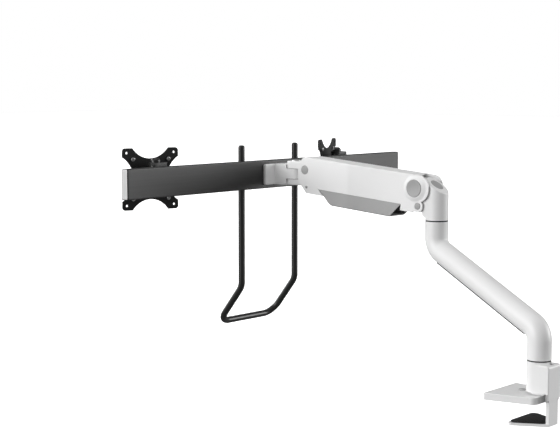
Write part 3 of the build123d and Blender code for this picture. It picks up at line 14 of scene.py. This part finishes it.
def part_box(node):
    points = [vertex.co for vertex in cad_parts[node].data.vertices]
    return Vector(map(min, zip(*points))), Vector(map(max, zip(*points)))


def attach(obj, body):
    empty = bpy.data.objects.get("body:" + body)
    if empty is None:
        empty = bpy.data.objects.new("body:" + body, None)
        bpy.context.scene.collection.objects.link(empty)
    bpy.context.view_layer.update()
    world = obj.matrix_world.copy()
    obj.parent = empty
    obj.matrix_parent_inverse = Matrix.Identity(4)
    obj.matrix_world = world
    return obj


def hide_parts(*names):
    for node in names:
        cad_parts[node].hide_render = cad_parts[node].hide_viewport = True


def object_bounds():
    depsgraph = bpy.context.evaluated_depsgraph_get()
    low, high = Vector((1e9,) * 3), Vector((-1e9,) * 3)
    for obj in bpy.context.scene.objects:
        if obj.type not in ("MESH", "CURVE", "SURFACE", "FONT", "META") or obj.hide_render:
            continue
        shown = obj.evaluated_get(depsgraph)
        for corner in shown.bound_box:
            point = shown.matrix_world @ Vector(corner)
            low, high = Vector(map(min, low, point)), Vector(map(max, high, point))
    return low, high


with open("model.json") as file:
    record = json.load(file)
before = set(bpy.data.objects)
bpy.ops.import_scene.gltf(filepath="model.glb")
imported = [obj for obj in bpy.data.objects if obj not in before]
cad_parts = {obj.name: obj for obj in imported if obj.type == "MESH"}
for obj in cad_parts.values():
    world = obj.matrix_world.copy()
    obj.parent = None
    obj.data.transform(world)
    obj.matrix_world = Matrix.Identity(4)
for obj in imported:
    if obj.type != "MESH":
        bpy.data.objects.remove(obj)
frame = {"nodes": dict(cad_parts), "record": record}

cad_low, cad_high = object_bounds()
BODY_OF = {node: body for body, nodes in frame["record"]["behaviour"]["bodies"].items() for node in nodes}
SLOT_OF = {part["node"]: part["material_slot"] for part in frame["record"]["subparts"]}

# Camera, as the photograph was taken
CAMERA_PLACE = (-2.2622, -1.2672, 0.5554)
CAMERA_AZIMUTH = radians(-50.78)
CAMERA_DOWN = radians(5.32)
CAMERA_LENS = 96.08  # mm on a sensor 36 mm wide
CAMERA_SENSOR = 36.0

# Floor and light
FLOOR_GAP = 0.35  # room below the clamp for the handle when the arm is lowered
FLOOR_HALF = 30.0
AMBIENT = 0.22
KEY_STRENGTH = 2.32
KEY_TURN = radians(-62)  # from the camera's side of the object, negative to its left
KEY_HEIGHT = radians(12)
KEY_SOFTNESS = radians(35)
RIM_STRENGTH = 2.15
RIM_TURN = radians(100)
RIM_HEIGHT = radians(10)
RIM_SOFTNESS = radians(34)
TOP_STRENGTH = 0.8
TOP_HEIGHT = radians(80)
TOP_SOFTNESS = radians(60)
USER_STRENGTH = 1.6
USER_TURN = radians(238)
USER_HEIGHT = radians(20)
USER_SOFTNESS = radians(40)
FLOOR_GLOW = 0.75
ACCENT_SIZE = 0.16
ACCENT_POWER = 0.011
ACCENT_SPREAD = radians(80)
ACCENT_AWAY = Vector((-0.085, -0.12, 0))  # from the bar's bracket

# Finishes
END_FACE = 0.8  # squared share of the bar's direction in an end face's normal
MIX_SHARE = 0  # sockets of a Mix node that mixes colours
MIX_FIRST = 6
MIX_SECOND = 7
MIX_COLOUR = 2
# Painted shade: the lower cable cover takes black plastic, darker than its slot, so that its edge paints the
# thin shadow line along the underside of the tube.
PAINTED_SHADE_FINISH = {"lower_cable_cover": "black_plastic"}  # nodes that the photograph shows darker than their slot

# Modelling
TINY = 1e-6
FACING = 0.9  # least share of an axis in the normal of a face that looks along it
SMOOTH_ANGLE = radians(35)
ROUND_SIDES = 72
SCREW_SIDES = 36
RIM_STEPS = 4
UP = Vector((0, 0, 1))
ASIDE = Vector((1, 0, 0))

# Round caps on the pivots
CAP_THICK = 0.0025
CAP_RIM = 0.0016  # height of the cap's rim above the bottom of its groove
CAP_GROOVE = 0.0007
CAP_EDGE = 0.0003
CAP_EDGE_STEPS = 3
CAP_DOME = 0.055  # of the cap's radius
CAP_DISH = -0.09
CAP_RINGS = 6
ELBOW_CAP_THICK = 0.0035
ELBOW_SLOPE = radians(36)

# Screws and bolts
HEAD_RIM = 0.18  # of a head's radius
TILT_HEAD = 0.0064
TILT_HEAD_HEIGHT = 0.0036
TILT_SOCKET = 0.0031
TILT_SHANK = 0.004
TILT_END = 0.001  # how far the bolt's end stands out of its ear
TILT_NUT = 0.0072
TILT_NUT_HEIGHT = 0.0036
NUT_EDGE = 0.0007
NUT_EDGE_STEPS = 2
NUT_CROWN = 0.0009
SWIVEL_HEAD_HEIGHT = 0.002
SWIVEL_SHANK = 0.006
SWIVEL_SOCKET = 0.005
CASE_SCREW_SOCKET = 0.0014
PLATE_SCREW_SPREAD = 0.0375
PLATE_SCREW_HEAD = 0.0037
PLATE_SCREW_HEAD_HEIGHT = 0.003
PLATE_SCREW_SHANK = 0.002
PLATE_SCREW_LENGTH = 0.01
PLATE_SCREW_SOCKET = 0.0018
PLATE_SCREW_KNURL = 0.0003
PLATE_SCREW_KNURL_WALL = PLATE_SCREW_KNURL / 3
PLATE_THICK = 0.003

# Thin grey rings between the case's cheeks and the elbow, sheets of painted shade in the gap there
SHADE_RING_THICK = 0.0003
SHADE_RING_PROUD = 0.0003
SHADE_RING_WIDTH = 0.0012
SHADE_RING_TOP = 0.013  # above the main pivot
SHADE_RING_SEAT = 0.02195  # from the arm's middle plane
CASE_REAR_RADIUS = 0.026
CASE_REAR_BACK = 0.005
EAR_RADIUS = 0.011

# Rubber pads
PAD_RIBS = 9
PAD_RIB_DEPTH = 0.0005
PAD_BORDER = 0.004
PAD_GROOVE_INSET = 0.25  # of the ribs' pitch, so that a groove never closes on itself
JAW_PAD_FRONT_HALF = 0.0465
JAW_PAD_REAR_HALF = 0.0174
PLATE_PAD_FRONT_HALF = 0.052
PLATE_PAD_REAR_HALF = 0.0355
PAD_CORNER_STEPS = 8
PAD_REAR_CORNER = 0.005
JAW_PAD_FRONT_CORNER = 0.016
PLATE_PAD_FRONT_CORNER = 0.006


class Socket:
    """A shader value that takes part in Python sums. Each operator adds one Math node."""

    def __init__(self, finish, output):
        self.finish = finish
        self.output = output

    def sum(self, operation, first, second):
        return self.finish.node("ShaderNodeMath", {"operation": operation}, {0: first, 1: second})

    def __add__(self, other):
        return self.sum("ADD", self, other)

    def __radd__(self, other):
        return self.sum("ADD", other, self)

    def __sub__(self, other):
        return self.sum("SUBTRACT", self, other)

    def __rsub__(self, other):
        return self.sum("SUBTRACT", other, self)

    def __mul__(self, other):
        return self.sum("MULTIPLY", self, other)

    def __rmul__(self, other):
        return self.sum("MULTIPLY", other, self)


class Finish:
    """One material: a Principled shader and the nodes that feed it."""

    def __init__(self, name):
        self.material = bpy.data.materials.new(name)
        self.material.use_nodes = True
        self.nodes = self.material.node_tree.nodes
        self.links = self.material.node_tree.links
        self.shader = self.nodes["Principled BSDF"]

    def feed(self, socket, value):
        if isinstance(value, Socket):
            self.links.new(value.output, socket)
        else:
            socket.default_value = value

    def node(self, kind, settings, sockets, output=0):
        """Adds a node, sets it up, feeds its sockets and returns one of its outputs."""
        node = self.nodes.new(kind)
        for name, value in settings.items():
            if name == "stops":
                for stop, (place, colour) in zip(node.color_ramp.elements, value):
                    stop.position = place
                    stop.color = colour
            else:
                setattr(node, name, value)
        for name, value in sockets.items():
            self.feed(node.inputs[name], value)
        return Socket(self, node.outputs[output])

    def place(self, stretch=(1, 1, 1)):
        """Object coordinates, stretched along the axes."""
        point = self.node("ShaderNodeTexCoord", {}, {}, "Object")
        return self.node("ShaderNodeMapping", {}, {"Vector": point, "Scale": stretch})

    def noise(self, scale, detail=2.0, stretch=(1, 1, 1)):
        sockets = {"Vector": self.place(stretch), "Scale": scale, "Detail": detail}
        return self.node("ShaderNodeTexNoise", {}, sockets)

    def blend(self, share, first, second):
        """A colour between two colours."""
        settings = {"data_type": "RGBA"}
        sockets = {MIX_SHARE: share, MIX_FIRST: first, MIX_SECOND: second}
        return self.node("ShaderNodeMix", settings, sockets, MIX_COLOUR)

    def bump(self, height, depth, strength=1.0):
        """A relief as deep as given where the height runs from 0 to 1."""
        return self.node("ShaderNodeBump", {}, {"Height": height, "Distance": depth, "Strength": strength})

    def surface(self, **sockets):
        for name, value in sockets.items():
            self.feed(self.shader.inputs[name.replace("_", " ")], value)
        return self.material


def grey(value, warmth=0.0):
    return (value * (1 + warmth), value, value * (1 - warmth), 1)


def white_paint():
    """Satin powder coat: faint clouding in the tone and a fine orange-peel skin."""
    f = Finish("white_paint")
    cloud = f.noise(7.0, 3.0)
    peel = f.noise(1100.0, 1.0)
    return f.surface(
        Base_Color=f.blend(cloud, grey(0.76), grey(0.83)),
        Roughness=0.36 + 0.1 * cloud,
        Normal=f.bump(peel, 0.00004),
    )


def grey_plastic():
    """Moulded plastic with a spark-eroded grain."""
    f = Finish("grey_plastic")
    cloud = f.noise(20.0)
    grain = f.noise(2600.0, 2.0)
    return f.surface(
        Base_Color=f.blend(cloud, grey(0.33), grey(0.39)),
        Roughness=0.46 + 0.12 * grain,
        Normal=f.bump(grain, 0.00005),
    )


def black_plastic():
    f = Finish("black_plastic")
    cloud = f.noise(30.0)
    grain = f.noise(2600.0, 2.0)
    return f.surface(
        Base_Color=f.blend(cloud, grey(0.008), grey(0.015)),
        Specular_IOR_Level=0.2,
        Roughness=0.5 + 0.12 * grain,
        Normal=f.bump(grain, 0.00006),
    )


def black_paint():
    """Satin black powder coat."""
    f = Finish("black_paint")
    cloud = f.noise(14.0, 3.0)
    peel = f.noise(1300.0, 1.0)
    return f.surface(
        Base_Color=f.blend(cloud, grey(0.012), grey(0.022)),
        Specular_IOR_Level=0.35,
        Roughness=0.26 + 0.1 * cloud,
        Normal=f.bump(peel, 0.000012),
    )


def dark_aluminium():
    """Dark anodised extrusion with fine drawing lines along the bar."""
    f = Finish("dark_aluminium")
    lines = f.noise(1.0, 3.0, stretch=(4, 2600, 2600))
    cloud = f.noise(4.0)
    return f.surface(
        Base_Color=f.blend(lines, grey(0.036), grey(0.058)),
        Metallic=0.75,
        Specular_IOR_Level=0.25,
        Roughness=0.34 + 0.1 * lines + 0.06 * cloud,
        Normal=f.bump(lines, 0.00002),
    )


def silver():
    """Aluminium end plates, dark anodised round the edge like the bar; the end face is painted bright with
    brushing lines, a painted reflection of the glossy end plate.
    """
    f = Finish("silver")
    lines = f.noise(1.0, 3.0, stretch=(3000, 3000, 60))
    facing = f.node("ShaderNodeSeparateXYZ", {}, {0: f.node("ShaderNodeTexCoord", {}, {}, "Normal")})
    # Painted reflection: the light grey on the end faces stands in for the light that the glossy end plate
    # reflects.
    painted_reflection = f.blend(lines, grey(0.46), grey(0.56))
    dark = f.blend(lines, grey(0.015), grey(0.03))
    # The end faces, which take the painted reflection.
    end = facing.sum("GREATER_THAN", facing * facing, END_FACE)
    return f.surface(
        Base_Color=f.blend(end, dark, painted_reflection),
        Metallic=0.9 - 0.25 * end,
        Roughness=0.34 + 0.12 * lines,
        Normal=f.bump(lines, 0.00002),
    )


def steel():
    """Zinc-plated steel with turning marks."""
    f = Finish("steel")
    marks = f.noise(1.0, 2.0, stretch=(900, 900, 3500))
    return f.surface(
        Base_Color=f.blend(marks, grey(0.48), grey(0.62)),
        Metallic=1.0,
        Roughness=0.24 + 0.14 * marks,
        Normal=f.bump(marks, 0.00002),
    )


def rubber():
    f = Finish("rubber")
    grain = f.noise(1600.0, 3.0)
    cloud = f.noise(25.0)
    return f.surface(
        Base_Color=f.blend(cloud, grey(0.009), grey(0.018)),
        Roughness=0.72 + 0.15 * grain,
        Normal=f.bump(grain, 0.00015),
    )


FINISHES = {
    make.__name__: make()
    for make in (
        white_paint,
        grey_plastic,
        black_plastic,
        black_paint,
        dark_aluminium,
        silver,
        steel,
        rubber,
    )
}


def dress_nodes():
    for node, slot in SLOT_OF.items():
        # Some nodes take a darker finish as painted shade.
        finish = FINISHES[PAINTED_SHADE_FINISH.get(node, slot)]
        for place in frame["nodes"][node].material_slots:
            place.material = finish


# Modelling by hand


def begin(add, **sizes):
    """Adds a primitive with nothing else selected, and opens it for editing."""
    bpy.ops.object.select_all(action="DESELECT")
    add(**sizes)
    bpy.ops.object.mode_set(mode="EDIT")
    return bpy.context.object


def choose(piece, kind, test):
    """Selects the faces or edges that pass a test."""
    bpy.ops.mesh.select_mode(type=kind)
    bpy.ops.mesh.select_all(action="DESELECT")
    mesh = bmesh.from_edit_mesh(piece.data)
    for item in mesh.faces if kind == "FACE" else mesh.edges:
        if test(item):
            item.select_set(True)
    bmesh.update_edit_mesh(piece.data)


def middle(item):
    return sum((v.co for v in item.verts), Vector()) / len(item.verts)


def choose_top(piece):
    """Selects the highest level faces."""
    top = max(v.co.z for v in bmesh.from_edit_mesh(piece.data).verts)
    choose(piece, "FACE", lambda face: all(v.co.z > top - TINY for v in face.verts))


def choose_rim(piece, test):
    """Selects the open edges whose distance from the middle line passes a test."""
    choose(piece, "EDGE", lambda edge: edge.is_boundary and test(middle(edge).xy.length))


def raise_faces(height):
    bpy.ops.mesh.extrude_region_move(TRANSFORM_OT_translate={"value": (0, 0, height)})


def draw_rim(share, drop):
    """Draws the selected edges out into new faces, lowered and scaled about the middle line."""
    bpy.ops.mesh.extrude_edges_move(TRANSFORM_OT_translate={"value": (0, 0, -drop)})
    bpy.ops.transform.resize(value=(share, share, 1), center_override=(0, 0, 0))


def close(piece, name):
    """Cleans the mesh up and leaves edit mode, with the piece's place in its mesh."""
    bpy.ops.mesh.select_all(action="SELECT")
    bpy.ops.mesh.remove_doubles(threshold=TINY)
    bpy.ops.mesh.normals_make_consistent(inside=False)
    bpy.ops.object.mode_set(mode="OBJECT")
    bpy.ops.object.transform_apply(location=True, rotation=True, scale=True)
    bpy.ops.object.shade_smooth_by_angle(angle=SMOOTH_ANGLE)
    piece.name = name
    return piece


def ride_with(piece, node, slot):
    """Dresses a piece that moves with a CAD node."""
    piece.data.materials.append(FINISHES[slot])
    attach(piece, BODY_OF[node])


def stand_for(piece, node):
    """Dresses a piece that takes a CAD node's place."""
    ride_with(piece, node, SLOT_OF[node])
    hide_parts(node)


def copies(pattern, name, places):
    """Copies of a piece that was modelled along +Z at the origin, for each place and axis."""
    made = []
    for count, (place, axis) in enumerate(places, 1):
        piece = pattern.copy()
        piece.data = pattern.data.copy()
        piece.name = f"{name}_{count}"
        piece.data.transform(Matrix.Translation(place) @ axis.to_track_quat("Z", "Y").to_matrix().to_4x4())
        bpy.context.scene.collection.objects.link(piece)
        made.append(piece)
    bpy.data.objects.remove(pattern)
    return made


def box_of(node):
    """A node's middle and half sizes."""
    low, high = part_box(node)
    return (low + high) / 2, (high - low) / 2


# Caps


def round_cap(radius, thick, crown):
    """A cap with a groove round its rim and a low dome or dish, modelled upwards from its seat."""
    base, dome = thick - CAP_RIM, crown * radius
    rim = CAP_RIM - max(dome, 0)
    piece = begin(
        bpy.ops.mesh.primitive_cylinder_add,
        vertices=ROUND_SIDES,
        radius=radius,
        depth=base,
        location=(0, 0, base / 2),
    )
    choose_top(piece)
    bpy.ops.mesh.inset(thickness=CAP_GROOVE)
    raise_faces(rim)
    choose_top(piece)
    bpy.ops.mesh.bevel(offset=CAP_EDGE, segments=CAP_EDGE_STEPS, affect="EDGES")
    choose_top(piece)
    # Each ring rises by its step of a parabola
    steps = CAP_RINGS + 1
    ring = (radius - CAP_GROOVE - CAP_EDGE) / steps
    for step in range(CAP_RINGS):
        bpy.ops.mesh.inset(thickness=ring)
        bpy.ops.transform.translate(value=(0, 0, dome * (2 * (steps - step) - 1) / steps**2))
    return close(piece, "cap")


def add_side_caps(node, crown):
    """The pair of caps on the two sides of the arm."""
    centre, half = box_of(node)
    pattern = round_cap(half.z, CAP_THICK, crown)
    seat = ASIDE * (half.x - CAP_THICK)
    places = [(centre - seat, -ASIDE), (centre + seat, ASIDE)]
    for piece in copies(pattern, node, places):
        stand_for(piece, node)


def add_elbow_cap():
    centre, half = box_of("elbow_cap")
    normal = Vector((0, -sin(ELBOW_SLOPE), cos(ELBOW_SLOPE)))
    pattern = round_cap(half.x, ELBOW_CAP_THICK, CAP_DOME)
    for piece in copies(pattern, "elbow_cap", [(centre - normal * ELBOW_CAP_THICK / 2, normal)]):
        stand_for(piece, "elbow_cap")


# Screws and bolts


def socket_head(radius, height, socket):
    """A head with a hexagon socket, modelled down from its top: the flat, the rounded rim and the side."""
    rim = HEAD_RIM * radius
    flat = radius - rim
    piece = begin(bpy.ops.mesh.primitive_circle_add, vertices=6, radius=socket)
    bpy.ops.mesh.subdivide(number_cuts=SCREW_SIDES // 6 - 1)
    bpy.ops.mesh.primitive_circle_add(vertices=SCREW_SIDES, radius=flat)
    bpy.ops.mesh.select_all(action="SELECT")
    bpy.ops.mesh.bridge_edge_loops()
    choose_rim(piece, lambda reach: reach < (socket + flat) / 2)
    draw_rim(1, socket)
    bpy.ops.mesh.edge_face_add()
    bpy.ops.mesh.poke()  # a fan, because the hexagon's sides hold points in a line
    choose_rim(piece, lambda reach: reach > TINY)
    reach, depth = flat, 0
    for step in range(1, RIM_STEPS + 1):
        turn = pi / 2 * step / RIM_STEPS
        next_reach, next_depth = flat + rim * sin(turn), rim * (1 - cos(turn))
        draw_rim(next_reach / reach, next_depth - depth)
        reach, depth = next_reach, next_depth
    draw_rim(1, height - rim)
    return piece


def add_shank(share, length):
    """The shank under a head whose lower rim is selected, as wide as a share of the head."""
    draw_rim(share, 0)
    draw_rim(1, length)
    bpy.ops.mesh.edge_face_add()


def knurl(piece, radius):
    """Raises every other facet round a head's side."""
    facet = 2 * pi / SCREW_SIDES

    def ridge(face):
        place = middle(face)
        turn = int((atan2(place.y, place.x) + 2 * pi) / facet)
        return abs(face.normal.z) < TINY and place.xy.length > radius * (1 - HEAD_RIM / 2) and turn % 2 == 0

    choose(piece, "FACE", ridge)
    bpy.ops.mesh.inset(thickness=PLATE_SCREW_KNURL_WALL, depth=PLATE_SCREW_KNURL, use_individual=True)


def add_plate_screws(side):
    """Four knurled screws whose heads sit on the bar's side of a mounting plate."""
    node = "vesa_screws_" + side
    mount = next(m for m in frame["record"]["mounts"] if m["name"] == "screen_holes_" + side)
    normal = Vector(mount["axis"])
    across = normal.cross(UP) * PLATE_SCREW_SPREAD
    head = Vector(mount["pos_m"]) - normal * (PLATE_THICK + PLATE_SCREW_HEAD_HEIGHT)
    pattern = socket_head(PLATE_SCREW_HEAD, PLATE_SCREW_HEAD_HEIGHT, PLATE_SCREW_SOCKET)
    add_shank(PLATE_SCREW_SHANK / PLATE_SCREW_HEAD, PLATE_SCREW_LENGTH)
    knurl(pattern, PLATE_SCREW_HEAD)
    pattern = close(pattern, "plate_screw")
    rise = UP * PLATE_SCREW_SPREAD
    places = [(head + x + z, -normal) for x in (-across, across) for z in (-rise, rise)]
    for piece in copies(pattern, "plate_screw_" + side, places):
        stand_for(piece, node)


def add_tilt_bolt(side):
    """The bolt that a mounting head tilts on, with a socket head and a crowned nut."""
    node = "tilt_pin_" + side
    centre, half = box_of(node)
    ear = ASIDE * (half.x - TILT_END)
    bolt = socket_head(TILT_HEAD, TILT_HEAD_HEIGHT, TILT_SOCKET)
    add_shank(TILT_SHANK / TILT_HEAD, 2 * half.x - TILT_END)
    bolt = close(bolt, "bolt")
    head = centre - ear - ASIDE * TILT_HEAD_HEIGHT
    nut = begin(
        bpy.ops.mesh.primitive_cylinder_add,
        vertices=6,
        radius=TILT_NUT,
        depth=TILT_NUT_HEIGHT,
        location=(0, 0, TILT_NUT_HEIGHT / 2),
    )
    choose_top(nut)
    bpy.ops.mesh.bevel(offset=NUT_EDGE, segments=NUT_EDGE_STEPS, affect="EDGES")
    choose_top(nut)
    bpy.ops.mesh.inset(thickness=NUT_EDGE)
    raise_faces(NUT_CROWN)
    choose_top(nut)
    bpy.ops.mesh.bevel(offset=NUT_EDGE, segments=NUT_EDGE_STEPS, affect="EDGES")
    nut = close(nut, "nut")
    for piece in copies(bolt, "tilt_bolt_" + side, [(head, -ASIDE)]):
        stand_for(piece, node)
    for piece in copies(nut, "tilt_nut_" + side, [(centre + ear, ASIDE)]):
        stand_for(piece, node)


def add_swivel_pin():
    centre, half = box_of("swivel_pin")
    pattern = socket_head(half.x, SWIVEL_HEAD_HEIGHT, SWIVEL_SOCKET)
    add_shank(SWIVEL_SHANK / half.x, 2 * half.z - SWIVEL_HEAD_HEIGHT)
    pattern = close(pattern, "pin")
    for piece in copies(pattern, "swivel_pin", [(centre + UP * half.z, UP)]):
        stand_for(piece, "swivel_pin")


def add_case_screws():
    centre, half = box_of("case_screws")
    pattern = socket_head(half.z, CAP_THICK, CASE_SCREW_SOCKET)
    bpy.ops.mesh.edge_face_add()
    pattern = close(pattern, "screw")
    face = ASIDE * half.x
    for piece in copies(pattern, "case_screw", [(centre - face, -ASIDE), (centre + face, ASIDE)]):
        stand_for(piece, "case_screws")


# Trim


def add_shade_ring(name, centre, radius, side):
    """A thin grey ring inside a cheek of the case, a little proud of the cheek's round end: a sheet that
    paints the shade in the gap between the cheek and the elbow.
    """
    seat = Vector((centre.x + side * SHADE_RING_SEAT, centre.y, centre.z))
    turned = (0, pi / 2, 0)
    outer = radius + SHADE_RING_PROUD
    circle = bpy.ops.mesh.primitive_circle_add
    piece = begin(circle, vertices=ROUND_SIDES, radius=outer, location=seat, rotation=turned)
    circle(vertices=ROUND_SIDES, radius=radius - SHADE_RING_WIDTH, location=seat, rotation=turned)
    bpy.ops.mesh.select_all(action="SELECT")
    bpy.ops.mesh.bridge_edge_loops()
    bpy.ops.mesh.select_all(action="SELECT")
    bpy.ops.mesh.extrude_region_move(TRANSFORM_OT_translate={"value": (-side * SHADE_RING_THICK, 0, 0)})
    bpy.ops.mesh.select_all(action="SELECT")
    top = box_of("main_pivot_shaft")[0] + UP * SHADE_RING_TOP
    bpy.ops.mesh.bisect(plane_co=top, plane_no=UP, use_fill=True, clear_outer=True)
    # Painted shade: the grey plastic ring darkens the line of the gap.
    ride_with(close(piece, name), "arm_case", "grey_plastic")


def add_shade_rings():
    pivot = box_of("main_pivot_shaft")[0]
    along = (box_of("front_pivot_pin")[0] - pivot).normalized()
    ear = box_of("ear_caps")[0]
    for word, side in (("left", -1), ("right", 1)):
        add_shade_ring("rear_liner_" + word, pivot - along * CASE_REAR_BACK, CASE_REAR_RADIUS, side)
        add_shade_ring("ear_liner_" + word, ear, EAR_RADIUS, side)


def upright_at(edge, end):
    """Tells whether an edge stands upright at the front or rear of its piece."""
    first, second = (v.co for v in edge.verts)
    return abs(first.z - second.z) > TINY and first.y * end > 0


def add_pad(node, front_half, rear_half, front_corner, ribs_up):
    """A rubber pad with soft edges that narrows to the rear, ribbed on the side that grips the desk."""
    low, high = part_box(node)
    centre, size = (low + high) / 2, high - low
    piece = begin(bpy.ops.mesh.primitive_cube_add, size=1, location=centre)
    bpy.ops.transform.resize(value=(2 * front_half, size.y, size.z))
    choose(piece, "FACE", lambda face: face.normal.y < -FACING)
    bpy.ops.transform.resize(value=(rear_half / front_half, 1, 1))
    for corner, end in ((PAD_REAR_CORNER, -1), (front_corner, 1)):
        choose(piece, "EDGE", lambda edge: upright_at(edge, end))
        bpy.ops.mesh.bevel(offset=corner, segments=PAD_CORNER_STEPS, affect="EDGES")
    strips = 2 * PAD_RIBS - 1
    pitch = (size.y - 2 * PAD_BORDER) / strips
    for line in range(strips):
        y = low.y + PAD_BORDER + (line + 0.5) * pitch
        bpy.ops.mesh.select_all(action="SELECT")
        bpy.ops.mesh.bisect(plane_co=(0, y, 0), plane_no=(0, 1, 0))
    up = 1 if ribs_up else -1

    def groove(face):
        count = (middle(face).y + size.y / 2 - PAD_BORDER) / pitch - 0.5
        clear = len(face.verts) == 4 and 0 < count < strips - 1  # of the rounded corners and the ends
        return clear and face.normal.z * up > FACING and int(count) % 2 == 0

    choose(piece, "FACE", groove)
    bpy.ops.mesh.inset(thickness=PAD_GROOVE_INSET * pitch, use_individual=False)
    bpy.ops.mesh.extrude_region_move(TRANSFORM_OT_translate={"value": (0, 0, -up * PAD_RIB_DEPTH)})
    piece = close(piece, node + "_rubber")
    stand_for(piece, node)


add_side_caps("main_pivot_caps", CAP_DISH)
add_side_caps("front_pivot_caps", CAP_DOME)
add_side_caps("ear_caps", CAP_DOME)
add_elbow_cap()
add_swivel_pin()
add_case_screws()
for side in ("left", "right"):
    add_plate_screws(side)
    add_tilt_bolt(side)
add_shade_rings()
add_pad("jaw_pad", JAW_PAD_FRONT_HALF, JAW_PAD_REAR_HALF, JAW_PAD_FRONT_CORNER, True)
add_pad("plate_pad", PLATE_PAD_FRONT_HALF, PLATE_PAD_REAR_HALF, PLATE_PAD_FRONT_CORNER, False)


def toward(turn, rise=0.0):
    """A level direction from the object, turned from the camera's side of it, with a rise."""
    angle = CAMERA_AZIMUTH + turn
    return Vector((sin(angle) * cos(rise), -cos(angle) * cos(rise), sin(rise)))


def add_camera():
    data = bpy.data.cameras.new("camera")
    data.lens = CAMERA_LENS
    data.sensor_width = CAMERA_SENSOR
    camera = bpy.data.objects.new("camera", data)
    camera.location = CAMERA_PLACE
    camera.rotation_euler = (pi / 2 - CAMERA_DOWN, 0, CAMERA_AZIMUTH)
    bpy.context.scene.collection.objects.link(camera)
    bpy.context.scene.camera = camera


def add_sun(name, direction, strength, softness):
    data = bpy.data.lights.new(name, "SUN")
    data.energy = strength
    data.angle = softness
    sun = bpy.data.objects.new(name, data)
    sun.rotation_euler = direction.to_track_quat("Z", "Y").to_euler()
    bpy.context.scene.collection.objects.link(sun)


def add_accent():
    """A small soft light on the camera's side of the bracket, which the arm shades from the other lights."""
    data = bpy.data.lights.new("accent", "AREA")
    data.size = ACCENT_SIZE
    data.energy = ACCENT_POWER
    data.spread = ACCENT_SPREAD
    accent = bpy.data.objects.new("accent", data)
    accent.location = box_of("bar_bracket")[0] + ACCENT_AWAY
    accent.rotation_euler = ACCENT_AWAY.to_track_quat("Z", "Y").to_euler()
    accent.visible_camera = False
    bpy.context.scene.collection.objects.link(accent)


def add_world():
    """A white surround for the camera, and a dimmer one for what lights the object."""
    world = bpy.data.worlds.new("studio")
    world.use_nodes = True
    nodes, links = world.node_tree.nodes, world.node_tree.links
    seen = nodes.new("ShaderNodeLightPath")
    level = nodes.new("ShaderNodeMapRange")
    level.inputs["To Min"].default_value = AMBIENT
    level.inputs["To Max"].default_value = 1.0
    links.new(seen.outputs["Is Camera Ray"], level.inputs["Value"])
    links.new(level.outputs["Result"], nodes["Background"].inputs["Strength"])
    nodes["Background"].inputs["Color"].default_value = (1, 1, 1, 1)
    bpy.context.scene.world = world


def add_floor():
    bpy.ops.object.select_all(action="DESELECT")
    bpy.ops.mesh.primitive_plane_add(size=2 * FLOOR_HALF, location=(0, 0, cad_low.z - FLOOR_GAP))
    floor = bpy.context.object
    floor.name = "floor"
    f = Finish("floor_paint")
    tone = f.blend(f.noise(0.5), grey(0.9), grey(0.93))
    floor.data.materials.append(
        f.surface(
            Base_Color=tone,
            Roughness=0.9,
            Emission_Color=(1, 1, 1, 1),
            Emission_Strength=FLOOR_GLOW,
        )
    )
    floor.visible_diffuse = False
    floor.visible_glossy = False


dress_nodes()
add_camera()
add_world()
add_floor()
add_sun("key", toward(KEY_TURN, KEY_HEIGHT), KEY_STRENGTH, KEY_SOFTNESS)
add_sun("rim", toward(RIM_TURN, RIM_HEIGHT), RIM_STRENGTH, RIM_SOFTNESS)
add_sun("top", toward(0, TOP_HEIGHT), TOP_STRENGTH, TOP_SOFTNESS)
add_sun("user_side", toward(USER_TURN, USER_HEIGHT), USER_STRENGTH, USER_SOFTNESS)
add_accent()
bpy.context.scene.view_settings.view_transform = "Standard"
